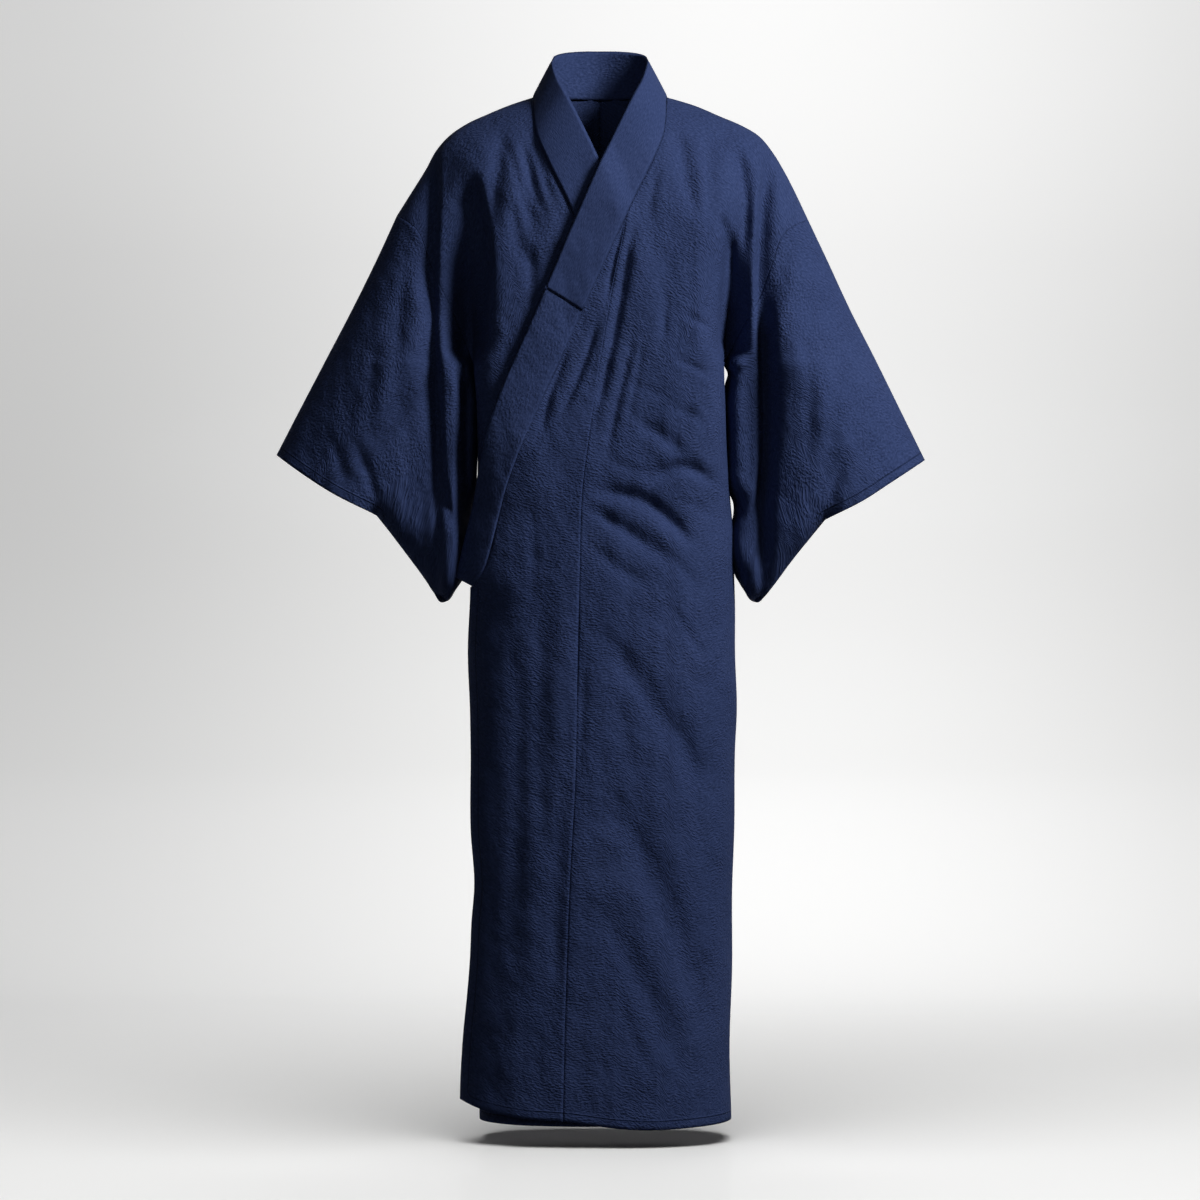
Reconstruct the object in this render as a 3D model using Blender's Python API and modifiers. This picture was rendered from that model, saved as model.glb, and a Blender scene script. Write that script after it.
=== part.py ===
"""Cotton yukata robe, worn open at the neck and closed left over right.

The robe hangs as a hollow form from the shoulders and neck, with nothing inside it.
+Z is up, the front faces -Y, and +X is the wearer's left. The origin is between the
two neck points, at the height of the shoulder seam line, where the wearer holds it up.

Every cut piece is one open sheet of points, worked out from the sizes and tables
below, with a Solidify modifier for the thickness of the cloth.
"""
import bmesh
import bpy
import numpy as np
from mathutils import Vector

# ---------------------------------------------------------------- driving sizes (metres)
WALL = 0.002            # thickness of the panels
BAND = 0.003            # thickness of the folded collar strip
OVER_BAND = 0.0018      # thickness of the cover sewn over the upper collar
SEAM = 0.0004           # a panel stops this far short of its seam line
COLLAR_SEAM = 0.0014    # and this far short of it along the thicker collar
NECK_SEAM = 0.0024      # and this far short of it where the collar turns up
LAP = 0.012             # the left front lies this far outside the right one
UNDERARM = -0.370       # height of the lower end of the armhole
HEM = -1.407            # height of the hem
OKUMI_TOP = -0.186      # the front gusset starts just under its point
TORSO_POWER = 2.5       # roundness of the body's sections
SLEEVE_FOOT = (0.210, -0.695)   # lowest point of the sleeve bag

COLUMNS_SLEEVE = 13
ROWS_ARMHOLE, ROWS_BAG = 9, 10          # down the inner side of a sleeve
ROWS_OPENING, ROWS_SHUT = 11, 8         # down its outer side
COLUMNS_BODY, COLUMNS_OKUMI, COLUMNS_COLLAR = 13, 6, 3
TOP_LEVELS = [-0.002, -0.010, -0.026, -0.048, -0.076, -0.106, -0.136, -0.168,
              -0.205, -0.240, -0.275, -0.305, -0.330, -0.351, UNDERARM]
LOW_LEVELS = [-0.402, -0.434, -0.466, -0.498, -0.530, -0.562, -0.594, -0.626, -0.660,
              -0.684, -0.712, -0.750, -0.795, -0.845, -0.900, -0.955, -1.010, -1.065, -1.120,
              -1.175, -1.230, -1.285, -1.335, -1.375, HEM]

NAVY = (0.028, 0.048, 0.116, 1.0)
NAVY_BAND = (0.025, 0.040, 0.100, 1.0)

# ------------------------------------------------------------------------------- tables
# Shoulder and top of the arm, as a line seen from the front, neck to cuff: x, z
RIDGE = {
    "left": [(0.090, 0.000), (0.130, -0.012), (0.168, -0.028), (0.196, -0.040),
             (0.219, -0.054), (0.239, -0.078), (0.253, -0.101), (0.268, -0.130),
             (0.287, -0.170), (0.313, -0.225), (0.345, -0.294), (0.380, -0.363),
             (0.413, -0.430), (0.448, -0.501)],
    "right": [(0.090, 0.000), (0.126, -0.012), (0.155, -0.024), (0.185, -0.038),
              (0.208, -0.054), (0.225, -0.073), (0.240, -0.100), (0.258, -0.129),
              (0.280, -0.164), (0.308, -0.225), (0.342, -0.294), (0.378, -0.363),
              (0.413, -0.430), (0.446, -0.494)],
}
RIDGE_AT_ARMHOLE = 8    # the row of RIDGE where body and sleeve meet

# Seam of body and sleeve, from the shoulder to the underarm: x, z
ARMHOLE = {
    ("left", "front"): [(0.287, -0.170), (0.254, -0.190), (0.234, -0.238),
                        (0.215, -0.288), (0.199, -0.315), (0.183, -0.345), (0.1710, UNDERARM)],
    ("left", "back"): [(0.287, -0.170), (0.262, -0.212), (0.237, -0.262),
                       (0.210, -0.312), (0.189, -0.346), (0.1710, UNDERARM)],
    ("right", "front"): [(0.280, -0.164), (0.250, -0.188), (0.233, -0.232),
                         (0.217, -0.268), (0.200, -0.302), (0.186, -0.338), (0.1745, UNDERARM)],
    ("right", "back"): [(0.280, -0.164), (0.257, -0.208), (0.233, -0.258),
                        (0.208, -0.308), (0.189, -0.344), (0.1745, UNDERARM)],
}

# Hand opening, then the closed end of the sleeve, from the ridge to the tip: x, z
OPENING = {
    "left": [(0.448, -0.501), (0.400, -0.532), (0.356, -0.560), (0.308, -0.584)],
    "right": [(0.446, -0.494), (0.411, -0.519), (0.364, -0.549), (0.306, -0.578)],
}
SHUT = {
    "left": [(0.308, -0.584), (0.290, -0.606), (0.263, -0.640), (0.240, -0.672), (0.228, -0.688)],
    "right": [(0.306, -0.578), (0.290, -0.598), (0.263, -0.634), (0.240, -0.666), (0.229, -0.683)],
}
# Inner edge of the sleeve bag, from the underarm down: x, z
BAG_EDGE = {
    "left": [(0.1765, -0.374), (0.1715, -0.405), (0.1690, -0.440), (0.1710, -0.490),
             (0.1800, -0.535), (0.1860, -0.570), (0.1860, -0.640), (0.1895, -0.663)],
    "right": [(0.1795, -0.374), (0.1700, -0.410), (0.1650, -0.445), (0.1665, -0.490),
              (0.1740, -0.530), (0.1820, -0.567), (0.1835, -0.640), (0.1880, -0.663)],
}

# Half widths of the body, and half depths: the right front and back are one tube,
# and the left front runs round the outside of it on the wearer's right.
#   z, left side, right side, lap on the right side, front, back
BODY = [
    (-0.130, 0.184, 0.182, 0.184, 0.112, 0.108),
    (-0.200, 0.182, 0.179, 0.184, 0.116, 0.113),
    (-0.300, 0.176, 0.176, 0.184, 0.119, 0.113),
    (UNDERARM, 0.1700, 0.1735, 0.184, 0.120, 0.110),
    (-0.430, 0.1715, 0.1690, 0.186, 0.121, 0.105),
    (-0.490, 0.1740, 0.1680, 0.188, 0.122, 0.104),
    (-0.550, 0.1790, 0.1690, 0.194, 0.122, 0.109),
    (-0.610, 0.1840, 0.1700, 0.203, 0.122, 0.117),
    (-0.665, 0.1850, 0.1710, 0.206, 0.122, 0.123),
    (-0.700, 0.1860, 0.1710, 0.190, 0.122, 0.125),
    (-0.765, 0.1860, 0.1710, 0.189, 0.122, 0.125),
    (-0.846, 0.1885, 0.1710, 0.188, 0.121, 0.123),
    (-0.900, 0.1860, 0.1700, 0.187, 0.120, 0.121),
    (-1.010, 0.1850, 0.1690, 0.188, 0.119, 0.118),
    (-1.094, 0.1820, 0.1670, 0.184, 0.118, 0.117),
    (-1.200, 0.1820, 0.1665, 0.189, 0.117, 0.116),
    (-1.310, 0.1785, 0.1660, 0.197, 0.116, 0.115),
    (-1.410, 0.1810, 0.1660, 0.201, 0.116, 0.115),
]
BODY_COLUMNS = ("z", "left", "right", "lap", "front", "back")

# Depth of the chest and back under the shoulder line: z, front, back
CHEST = [(0.010, 0.098, 0.074), (-0.060, 0.104, 0.088), (-0.130, 0.112, 0.104),
         (-0.200, 0.117, 0.112), (-0.300, 0.120, 0.112), (-0.380, 0.121, 0.109)]

# Seam of the front and its gusset, from the collar to the hem: z, x
OKUMI_SEAM = [(-0.168, 0.036), (-0.205, 0.030), (-0.262, 0.018), (-0.325, 0.007),
              (-0.388, -0.003), (-0.463, -0.014), (-0.540, -0.024), (-0.658, -0.028),
              (-0.787, -0.031), (-0.940, -0.034), (-1.064, -0.041), (-1.234, -0.047),
              (-1.410, -0.051)]

# Collar, from its lower tip to the neck point: outer seam x, z, free edge x, z
COLLAR = [
    (-0.1735, -0.6760, -0.1970, -0.6630),
    (-0.1560, -0.6450, -0.1870, -0.6200),
    (-0.1400, -0.5850, -0.1740, -0.5680),
    (-0.1280, -0.5400, -0.1660, -0.5250),
    (-0.1100, -0.4910, -0.1540, -0.4650),
    (-0.0860, -0.4370, -0.1330, -0.4050),
    (-0.0580, -0.3760, -0.1040, -0.3390),
    (-0.0260, -0.3040, -0.0750, -0.2730),
    (0.0060, -0.2340, -0.0410, -0.1920),
    (0.0450, -0.1490, -0.0010, -0.1000),
    (0.0650, -0.1080, 0.0230, -0.0480),
    (0.0820, -0.0670, 0.0440, -0.0040),
    (0.0870, -0.0400, 0.0550, 0.0180),
    (0.0890, -0.0160, 0.0615, 0.0380),
    (0.0905, 0.0000, 0.0640, 0.0500),
]
# Collar round the back of the neck: seam x, z, free edge x, z, y
COLLAR_BACK = [
    (0.0835, 0.0020, 0.0605, 0.0590, 0.0210),
    (0.0680, 0.0035, 0.0480, 0.0660, 0.0400),
    (0.0400, 0.0045, 0.0275, 0.0695, 0.0525),
    (0.0000, 0.0050, 0.0000, 0.0705, 0.0585),
]
# Depth of the free edge where it leaves the chest: row of COLLAR, y
COLLAR_LEAN = [(9, -0.104), (10, -0.088), (11, -0.066), (12, -0.044), (13, -0.020), (14, 0.002)]
OVER_COLLAR_END = 7.0       # the row of COLLAR where the cover ends
RIGHT_SQUEEZE = (0.78, -0.40, -0.20)    # the hidden side is narrower below, from z to z

# Edge of the left front below the collar's tip: z, x
LAP_EDGE = [(-0.680, -0.1765), (-0.762, -0.1805), (-0.844, -0.1775), (-0.900, -0.1765),
            (-1.008, -0.1765), (-1.090, -0.1715), (-1.145, -0.1755), (-1.199, -0.1775),
            (-1.254, -0.1815), (-1.309, -0.1865), (-1.376, -0.1905), (-1.410, -0.1915)]

# Height of the hem of the left front: x, z
HEM_LINE = [(-0.195, -1.375), (-0.162, -1.386), (-0.105, -1.396), (-0.042, -1.400),
            (0.018, -1.408), (0.060, -1.411), (0.142, -1.409), (0.182, -1.407)]

# Shift of the sleeve bag to the front and back, as it folds like a fan: x, left y, right y
FAN = [(0.170, -0.062, -0.058), (0.186, -0.058, -0.040), (0.200, -0.052, -0.034),
       (0.214, -0.034, -0.026), (0.228, 0.010, 0.012), (0.244, 0.006, 0.010),
       (0.270, -0.034, -0.030), (0.300, -0.066, -0.062), (0.322, -0.064, -0.062),
       (0.360, -0.042, -0.042), (0.400, -0.022, -0.022), (0.450, -0.004, -0.004)]

RIGHT_BAG_BACK = (0.040, -0.490, -0.570)    # the right bag's inner end swings back, from z to z

# Folds, as troughs in the outer face: where, start x, z, middle x, z, end x, z, depth, width
FOLDS = [
    ("front", 0.105, -0.045, 0.114, -0.100, 0.130, -0.185, 0.0060, 0.010),
    ("front", 0.184, -0.060, 0.197, -0.140, 0.196, -0.230, 0.0160, 0.012),
    ("front", 0.160, -0.170, 0.173, -0.200, 0.175, -0.255, 0.0080, 0.009),
    ("front", 0.148, -0.050, 0.150, -0.120, 0.146, -0.200, 0.0050, 0.011),
    ("front", 0.232, -0.075, 0.222, -0.186, 0.224, -0.330, 0.0260, 0.015),
    ("front", 0.224, -0.280, 0.229, -0.430, 0.222, -0.600, 0.0210, 0.017),
    ("front", -0.099, -0.045, -0.096, -0.123, -0.087, -0.215, 0.0060, 0.010),
    ("front", -0.132, -0.045, -0.140, -0.123, -0.149, -0.200, 0.0070, 0.011),
    ("front", -0.178, -0.062, -0.176, -0.160, -0.172, -0.270, 0.0180, 0.015),
    ("front", -0.227, -0.070, -0.229, -0.186, -0.228, -0.330, 0.0260, 0.015),
    ("front", -0.228, -0.280, -0.229, -0.430, -0.224, -0.600, 0.0210, 0.017),
    ("front", 0.048, -0.450, 0.084, -0.474, 0.118, -0.503, 0.0060, 0.010),
    ("front", 0.060, -0.538, 0.115, -0.512, 0.166, -0.530, 0.0075, 0.010),
    ("front", -0.020, -0.545, 0.054, -0.561, 0.132, -0.616, 0.0075, 0.011),
    ("front", -0.022, -0.572, 0.054, -0.617, 0.124, -0.655, 0.0060, 0.011),
    ("front", -0.014, -0.618, 0.027, -0.653, 0.074, -0.682, 0.0045, 0.010),
    ("front", 0.000, -0.925, 0.064, -1.050, 0.165, -1.310, 0.0060, 0.022),
    ("front", -0.012, -0.715, 0.068, -0.829, 0.160, -0.975, 0.0050, 0.020),
    ("front", 0.000, -1.090, 0.054, -1.207, 0.124, -1.350, 0.0050, 0.020),
    ("front", -0.108, -0.700, -0.113, -0.964, -0.119, -1.250, 0.0045, 0.018),
    ("front", -0.074, -0.630, -0.081, -0.829, -0.074, -1.110, 0.0035, 0.016),
    ("back", 0.060, -0.120, 0.052, -0.260, 0.050, -0.420, 0.0090, 0.020),
    ("back", -0.055, -0.130, -0.050, -0.250, -0.046, -0.400, 0.0080, 0.018),
    ("back", 0.130, -0.080, 0.140, -0.180, 0.142, -0.330, 0.0130, 0.016),
    ("back", -0.128, -0.085, -0.136, -0.180, -0.140, -0.320, 0.0120, 0.016),
    ("back", 0.236, -0.110, 0.232, -0.220, 0.236, -0.360, 0.0180, 0.014),
    ("back", -0.232, -0.110, -0.230, -0.220, -0.236, -0.360, 0.0180, 0.014),
    ("back", 0.290, -0.330, 0.300, -0.440, 0.296, -0.560, 0.0100, 0.016),
    ("back", -0.286, -0.330, -0.296, -0.440, -0.292, -0.560, 0.0100, 0.016),
    ("back", 0.020, -0.480, 0.080, -0.500, 0.140, -0.480, 0.0060, 0.012),
    ("back", -0.015, -0.520, -0.075, -0.545, -0.140, -0.525, 0.0060, 0.012),
    ("back", 0.070, -0.640, 0.082, -0.900, 0.090, -1.220, 0.0070, 0.022),
    ("back", -0.062, -0.620, -0.072, -0.860, -0.084, -1.180, 0.0065, 0.020),
    ("back", 0.126, -0.760, 0.134, -1.000, 0.138, -1.300, 0.0055, 0.016),
    ("back", -0.120, -0.820, -0.126, -1.040, -0.130, -1.320, 0.0055, 0.016),
]


# ------------------------------------------------------------------------ small functions
def smooth(t):
    """0 to 1 with level ends."""
    t = np.clip(t, 0.0, 1.0)
    return t * t * (3.0 - 2.0 * t)


def dome(t):
    """Quarter circle: 0 at t = 0, and 1 from t = 1 on."""
    return np.sqrt(1.0 - (1.0 - np.clip(t, 0.0, 1.0)) ** 2)


def mix(a, b, t):
    return a + (b - a) * t


def curve(keys, values, at):
    """A soft curve through the rows of a table, level beyond its ends."""
    keys, values = np.asarray(keys, float), np.asarray(values, float)
    if keys[0] > keys[-1]:
        keys, values = keys[::-1], values[::-1]
    slope = np.gradient(values, keys)
    at = np.clip(np.asarray(at, float), keys[0], keys[-1])
    i = np.clip(np.searchsorted(keys, at) - 1, 0, len(keys) - 2)
    step = keys[i + 1] - keys[i]
    t = (at - keys[i]) / step
    return ((1 + 2 * t) * (1 - t) ** 2 * values[i] + t * (1 - t) ** 2 * step * slope[i]
            + t * t * (3 - 2 * t) * values[i + 1] - t * t * (1 - t) * step * slope[i + 1])


def column(table, names, name, z):
    rows = np.array(table, float)
    return curve(rows[:, 0], rows[:, names.index(name)], z)


def path(points, t):
    """Points at the shares t of the length of a soft line through the rows."""
    points = np.asarray(points, float)
    run = np.concatenate([[0.0], np.cumsum(np.linalg.norm(np.diff(points, axis=0), axis=1))])
    return np.stack([curve(run, points[:, k], np.asarray(t) * run[-1])
                     for k in range(points.shape[1])], axis=1)


def away(line, x, z):
    """Distance from each point to a line of rows x, z, seen from the front."""
    line = path(line, np.linspace(0.0, 1.0, 40))
    best = np.full(np.shape(x), 9.0)
    for (ax, az), (bx, bz) in zip(line[:-1], line[1:]):
        ux, uz = bx - ax, bz - az
        t = np.clip(((x - ax) * ux + (z - az) * uz) / (ux * ux + uz * uz), 0.0, 1.0)
        best = np.minimum(best, np.hypot(x - ax - t * ux, z - az - t * uz))
    return best


def patch(top, bottom, left, right):
    """A grid of points between four edges that share their corners (Coons)."""
    rows, columns = len(left), len(top)
    v = np.linspace(0.0, 1.0, rows)[:, None, None]
    u = np.linspace(0.0, 1.0, columns)[None, :, None]
    u = np.broadcast_to(u, (rows, columns, 1))
    v = np.broadcast_to(v, (rows, columns, 1))
    across = mix(left[:, None, :], right[:, None, :], u)
    down = mix(top[None, :, :], bottom[None, :, :], v)
    corners = mix(mix(left[0], right[0], u), mix(left[-1], right[-1], u), v)
    return across + down - corners


# ---------------------------------------------------------------------- form of the robe
def troughs(face, x, z):
    """How far the folds of one face go in at each point."""
    depth = np.zeros(np.shape(x))
    for where, x0, z0, x1, z1, x2, z2, deep, wide in FOLDS:
        if where != face:
            continue
        line = path([(x0, z0), (x1, z1), (x2, z2)], np.linspace(0.0, 1.0, 9))
        best, along = np.full(np.shape(x), 9.0), np.zeros(np.shape(x))
        for i, ((ax, az), (bx, bz)) in enumerate(zip(line[:-1], line[1:])):
            ux, uz = bx - ax, bz - az
            t = np.clip(((x - ax) * ux + (z - az) * uz) / (ux * ux + uz * uz), 0.0, 1.0)
            d = np.hypot(x - ax - t * ux, z - az - t * uz)
            along = np.where(d < best, (i + t) / 8.0, along)
            best = np.minimum(best, d)
        ends = smooth(along / 0.3) * smooth((1.0 - along) / 0.3)
        if deep > 0.020:           # the valley of the sleeve runs on from row to row
            ends = smooth(along / 0.40) if z0 > -0.2 else smooth((1.0 - along) / 0.30)
            ends = ends * (smooth((1.0 - along) / 0.25) if z0 > -0.2 else smooth(along / 0.20))
        depth = depth + deep * ends * np.exp(-(best / wide) ** 2)
    return depth


def upper(side, face, x, z):
    """Half depth that rounds away from the line of the shoulder and arm."""
    d = away(RIDGE[side], x, z)
    chest = smooth((0.270 - x) / 0.140)
    names = ("z", "front", "back")
    arm = 0.052 - 0.022 * smooth((d - 0.060) / 0.160)
    full = mix(arm, column(CHEST, names, face, z), chest)
    reach = mix(0.055, 0.160, chest)
    t = np.clip(d / reach, 0.0, 1.0)
    return full * (1.0 - (1.0 - t) ** 2) ** mix(0.5, 0.70, chest)


def ring(x, half_width, half_depth):
    t = np.clip(np.abs(x) / half_width, 0.0, 1.0)
    return half_depth * (1.0 - t ** TORSO_POWER) ** (1.0 / TORSO_POWER)


def hollow_side(beyond, z):
    """0 at the body's side and 1 on the sleeve, round at its edge below the underarm."""
    open_side = smooth((z - UNDERARM) / 0.020)
    return mix(dome((beyond - 0.006) / 0.030), smooth((beyond - 0.006) / 0.036), open_side)


def split(z):
    """0 at the shoulder, 1 from the underarm down, where sleeve and body part."""
    t = np.clip((z - UNDERARM) / (-0.130 - UNDERARM), 0.0, 1.0)
    return 1.0 - 0.10 * dome(t / 0.08) - 0.90 * smooth(t)


def lift(x, z):
    """How far the left front stands off the chest where the right one lies under it."""
    return LAP * smooth((right_edge(z) + 0.030 - x) / 0.040)


def body_y(layer, x, z):
    """Depth of the body's outer cloth: the left front, the right front or the back."""
    x, z = np.asarray(x, float), np.asarray(z, float)
    face = "back" if layer == "back" else "front"
    shoulder = np.where(x >= 0, upper("left", face, np.abs(x), z),
                        upper("right", face, np.abs(x), z))
    left = column(BODY, BODY_COLUMNS, "left", z)
    right = column(BODY, BODY_COLUMNS, "right", z)
    deep = column(BODY, BODY_COLUMNS, face, z)
    over = 0.0
    if layer == "left":
        over = lift(x, z)
        wide = np.where(x >= 0, left, column(BODY, BODY_COLUMNS, "lap", z))
        deep = deep + 0.010
        tube = ring(x, wide, deep)
    elif layer == "right":
        tube = ring(x, np.where(x >= 0, left - 0.013, right), deep)
        left = np.where(x >= 0, left - 0.013, left)
    else:
        tube = ring(x, np.where(x >= 0, left, right), deep)
    side = np.where(x >= 0, left, np.where(layer == "left", 9.0, right))
    open_side = smooth((z - UNDERARM) / 0.036)
    soft = deep * (1.0 - np.clip(np.abs(x) / side, 0.0, 1.0) ** 5)
    low = np.where(np.abs(x) <= side, mix(tube, np.minimum(tube, soft), open_side),
                   shoulder * hollow_side(np.abs(x) - side, z))
    half = mix(shoulder + over, low, split(z))
    half = half - troughs(face, x, z) * smooth(half / 0.030)
    return half if face == "back" else -half


def bag_inner(side, z):
    bag = np.array(BAG_EDGE[side], float)
    return curve(bag[:, 1], bag[:, 0], z)


def sleeve_y(side, face, x, z):
    """Depth of the sleeve's front or back face; x is the distance from the middle."""
    x, z = np.asarray(x, float), np.asarray(z, float)
    sign = 1.0 if side == "left" else -1.0
    d = away(RIDGE[side], x, z)
    half = upper(side, face, x, z)
    body = column(BODY, BODY_COLUMNS, side, z)
    inner = np.where(z >= BAG_EDGE[side][0][1], body, bag_inner(side, z) - 0.006)
    half = half * mix(1.0, hollow_side(x - inner, z), split(z))
    half = half - troughs(face, sign * x, z) * smooth(half / 0.030)
    half = half * dome(away(SHUT[side] + [SLEEVE_FOOT], x, z) / 0.040)
    fan = np.array(FAN, float)
    fan = curve(fan[:, 0], fan[:, 1 if side == "left" else 2], x) * smooth(d / 0.110)
    fan = fan * (1.0 - 0.6 * smooth((-0.590 - z) / 0.080))
    if side == "right":       # the lap's wing lies over this bag's lower end
        back, start, end = RIGHT_BAG_BACK
        fan = fan + back * smooth((start - z) / (start - end)) * smooth((0.240 - x) / 0.030)
    free = mix(smooth((x - body) / 0.040), 1.0, smooth((UNDERARM - z) / 0.034))
    middle = fan * free * split(z)
    return middle + half if face == "back" else middle - half


def right_edge(z):
    """The free edge of the right front, hidden inside: its x at each height."""
    rows = np.array(COLLAR, float)
    low, start, end = RIGHT_SQUEEZE
    return -curve(rows[:, 3], rows[:, 2], z) * mix(1.0, low, smooth((end - z) / (end - start)))


def hem(layer, x, z):
    """Heights near the bottom, let down or taken up to the line of the hem."""
    line = np.array(HEM_LINE, float)
    target = curve(line[:, 0], line[:, 1], x) if layer == "left" else HEM
    return z + (target - HEM) * smooth((-0.95 - z) / (-0.95 - HEM))


# -------------------------------------------------------------------------- making pieces
def solid(name, grids, wall, colour, out=None):
    """One cut piece: grids of points welded where they meet, made as thick as the cloth."""
    mesh = bpy.data.meshes.new(name)
    points, faces = [], []
    for grid in grids:
        rows, columns = grid.shape[:2]
        first = len(points)
        points.extend(map(tuple, grid.reshape(-1, 3)))
        for i in range(rows - 1):
            for j in range(columns - 1):
                a = first + i * columns + j
                faces.append((a, a + columns, a + columns + 1, a + 1))
    mesh.from_pydata(points, [], faces)
    form = bmesh.new()
    form.from_mesh(mesh)
    bmesh.ops.remove_doubles(form, verts=form.verts, dist=0.00005)
    bmesh.ops.recalc_face_normals(form, faces=form.faces)
    form.faces.ensure_lookup_table()
    probe = max(form.faces, key=lambda f: f.calc_center_median().dot(out))
    if probe.normal.dot(out) < 0:
        bmesh.ops.reverse_faces(form, faces=form.faces)
    form.to_mesh(mesh)
    form.free()
    mesh.shade_smooth()
    piece = bpy.data.objects.new(name, mesh)
    collection.objects.link(piece)
    thick = piece.modifiers.new("Cloth", "SOLIDIFY")
    thick.thickness = wall
    thick.offset = 0.0
    thick.use_rim = True
    cloth = bpy.data.materials.new(name)
    cloth.use_nodes = True
    shader = cloth.node_tree.nodes["Principled BSDF"]
    shader.inputs["Base Color"].default_value = colour
    shader.inputs["Roughness"].default_value = 0.85
    mesh.materials.append(cloth)
    return piece


def front_edge(side, levels):
    """Inner edge of a front at each height: the collar's seam, then the gusset's."""
    rows = np.array(COLLAR, float)[8:]
    neck = curve(rows[:, 1], rows[:, 0], levels)
    seam = np.array(OKUMI_SEAM, float)
    gusset = curve(seam[:, 0], seam[:, 1], levels)
    return np.where(np.asarray(levels) > seam[0, 0], neck, gusset)


def body(side):
    """One front and its half of the back, in one length over the shoulder."""
    sign = 1.0 if side == "left" else -1.0
    ridge = np.array(RIDGE[side][:RIDGE_AT_ARMHOLE + 1])
    spread = np.linspace(0.0, 1.0, COLUMNS_BODY + 1)
    spread = mix(spread, np.sin(0.5 * np.pi * spread), 0.70)
    top_levels = np.array(TOP_LEVELS)
    fall = np.linspace(0.0, 1.0, len(top_levels))
    fall = mix(fall, fall ** 2, 0.55)
    top = path(ridge, spread)
    top[0, 0] += NECK_SEAM
    grids = []
    for face in ("front", "back"):
        hole = path(ARMHOLE[side, face], fall)
        hole[1:-1, 0] -= SEAM * 2.0
        if face == "front":
            edge = np.stack([front_edge(side, top_levels), top_levels], axis=1)
            gap = mix(NECK_SEAM, COLLAR_SEAM, smooth(-edge[:, 1] / 0.090))
            gap = np.where(edge[:, 1] > OKUMI_SEAM[0][0] - 0.002, gap, SEAM)
            edge[:, 0] += gap
            edge[0] = top[0]
            low_edge = front_edge(side, LOW_LEVELS) + SEAM
        else:
            neck = path([(0.0905, 0.0)] + [row[:2] for row in COLLAR_BACK[:-1]] + [(SEAM, 0.0055)],
                        np.array([0.0, 0.25, 0.60, 1.0]))
            neck[:, 1] -= 0.0010
            down = np.stack([np.full(len(top_levels) - 4, SEAM),
                             np.linspace(-0.030, UNDERARM, len(top_levels) - 4)], axis=1)
            edge = np.concatenate([neck, down])
            edge[0] = top[0]
            low_edge = np.full(len(LOW_LEVELS), SEAM)
        foot = mix(edge[-1][None, :], hole[-1][None, :], spread[:, None])
        high = patch(top, foot, edge, hole)
        wide = column(BODY, BODY_COLUMNS, side, np.array(LOW_LEVELS))
        low = np.stack([mix(low_edge[:, None], wide[:, None], spread[None, :]),
                        np.repeat(np.array(LOW_LEVELS)[:, None], COLUMNS_BODY + 1, 1)], axis=-1)
        flat = np.concatenate([high, low])
        layer = "back" if face == "back" else side
        x = sign * flat[..., 0]
        y = body_y(layer, x, flat[..., 1])
        z = hem(layer, x, flat[..., 1])
        y[0, :] = 0.0
        y[len(top_levels) - 1:, -1] = 0.0
        z[len(top_levels) - 1:, -1] = flat[len(top_levels) - 1:, -1, 1]
        grids.append(np.stack([x, y, z], axis=-1))
    return solid(f"body_{side}", grids, WALL, NAVY, Vector((sign, 0.0, 0.0)))


def sleeve(side):
    """A bag that hangs from the arm: open at the armhole and at the hand."""
    sign = 1.0 if side == "left" else -1.0
    ridge = np.array(RIDGE[side][RIDGE_AT_ARMHOLE:])
    along = np.linspace(0.0, 1.0, COLUMNS_SLEEVE + 1)
    grids = []
    for face in ("front", "back"):
        fall = np.linspace(0.0, 1.0, ROWS_ARMHOLE + 1)
        hole = np.array(ARMHOLE[side, face])
        hole[-1] = BAG_EDGE[side][0]
        hole = path(hole, mix(fall, fall ** 2, 0.45))
        hole[1:-1, 0] += SEAM * 2.0
        left = np.concatenate([hole, path(BAG_EDGE[side], np.linspace(0, 1, ROWS_BAG + 1))[1:]])
        fall = np.linspace(0.0, 1.0, ROWS_OPENING + 1)
        right = np.concatenate([path(OPENING[side], mix(fall, fall ** 2, 0.45)),
                                path(SHUT[side], np.linspace(0, 1, ROWS_SHUT + 1))[1:]])
        top = path(ridge, along)
        left[0] = top[0] = ridge[0] + [0.0016, -0.0022]
        foot = path([BAG_EDGE[side][-1], (0.199, -0.680), SLEEVE_FOOT, (0.218, -0.697),
                     SHUT[side][-1]], 0.5 - 0.5 * np.cos(np.pi * along))
        flat = patch(top, foot, left, right)
        y = sleeve_y(side, face, flat[..., 0], flat[..., 1])
        edge = 0.5 * (sleeve_y(side, "front", flat[..., 0], flat[..., 1])
                      + sleeve_y(side, "back", flat[..., 0], flat[..., 1]))
        y[0, :] = 0.0
        y[-1, :] = edge[-1, :]
        y[ROWS_ARMHOLE:, 0] = edge[ROWS_ARMHOLE:, 0]
        y[ROWS_OPENING:, -1] = edge[ROWS_OPENING:, -1]
        grids.append(np.stack([sign * flat[..., 0], y, flat[..., 1]], axis=-1))
    return solid(f"sleeve_{side}", grids, WALL, NAVY, Vector((sign, 0.0, 0.0)))


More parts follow.
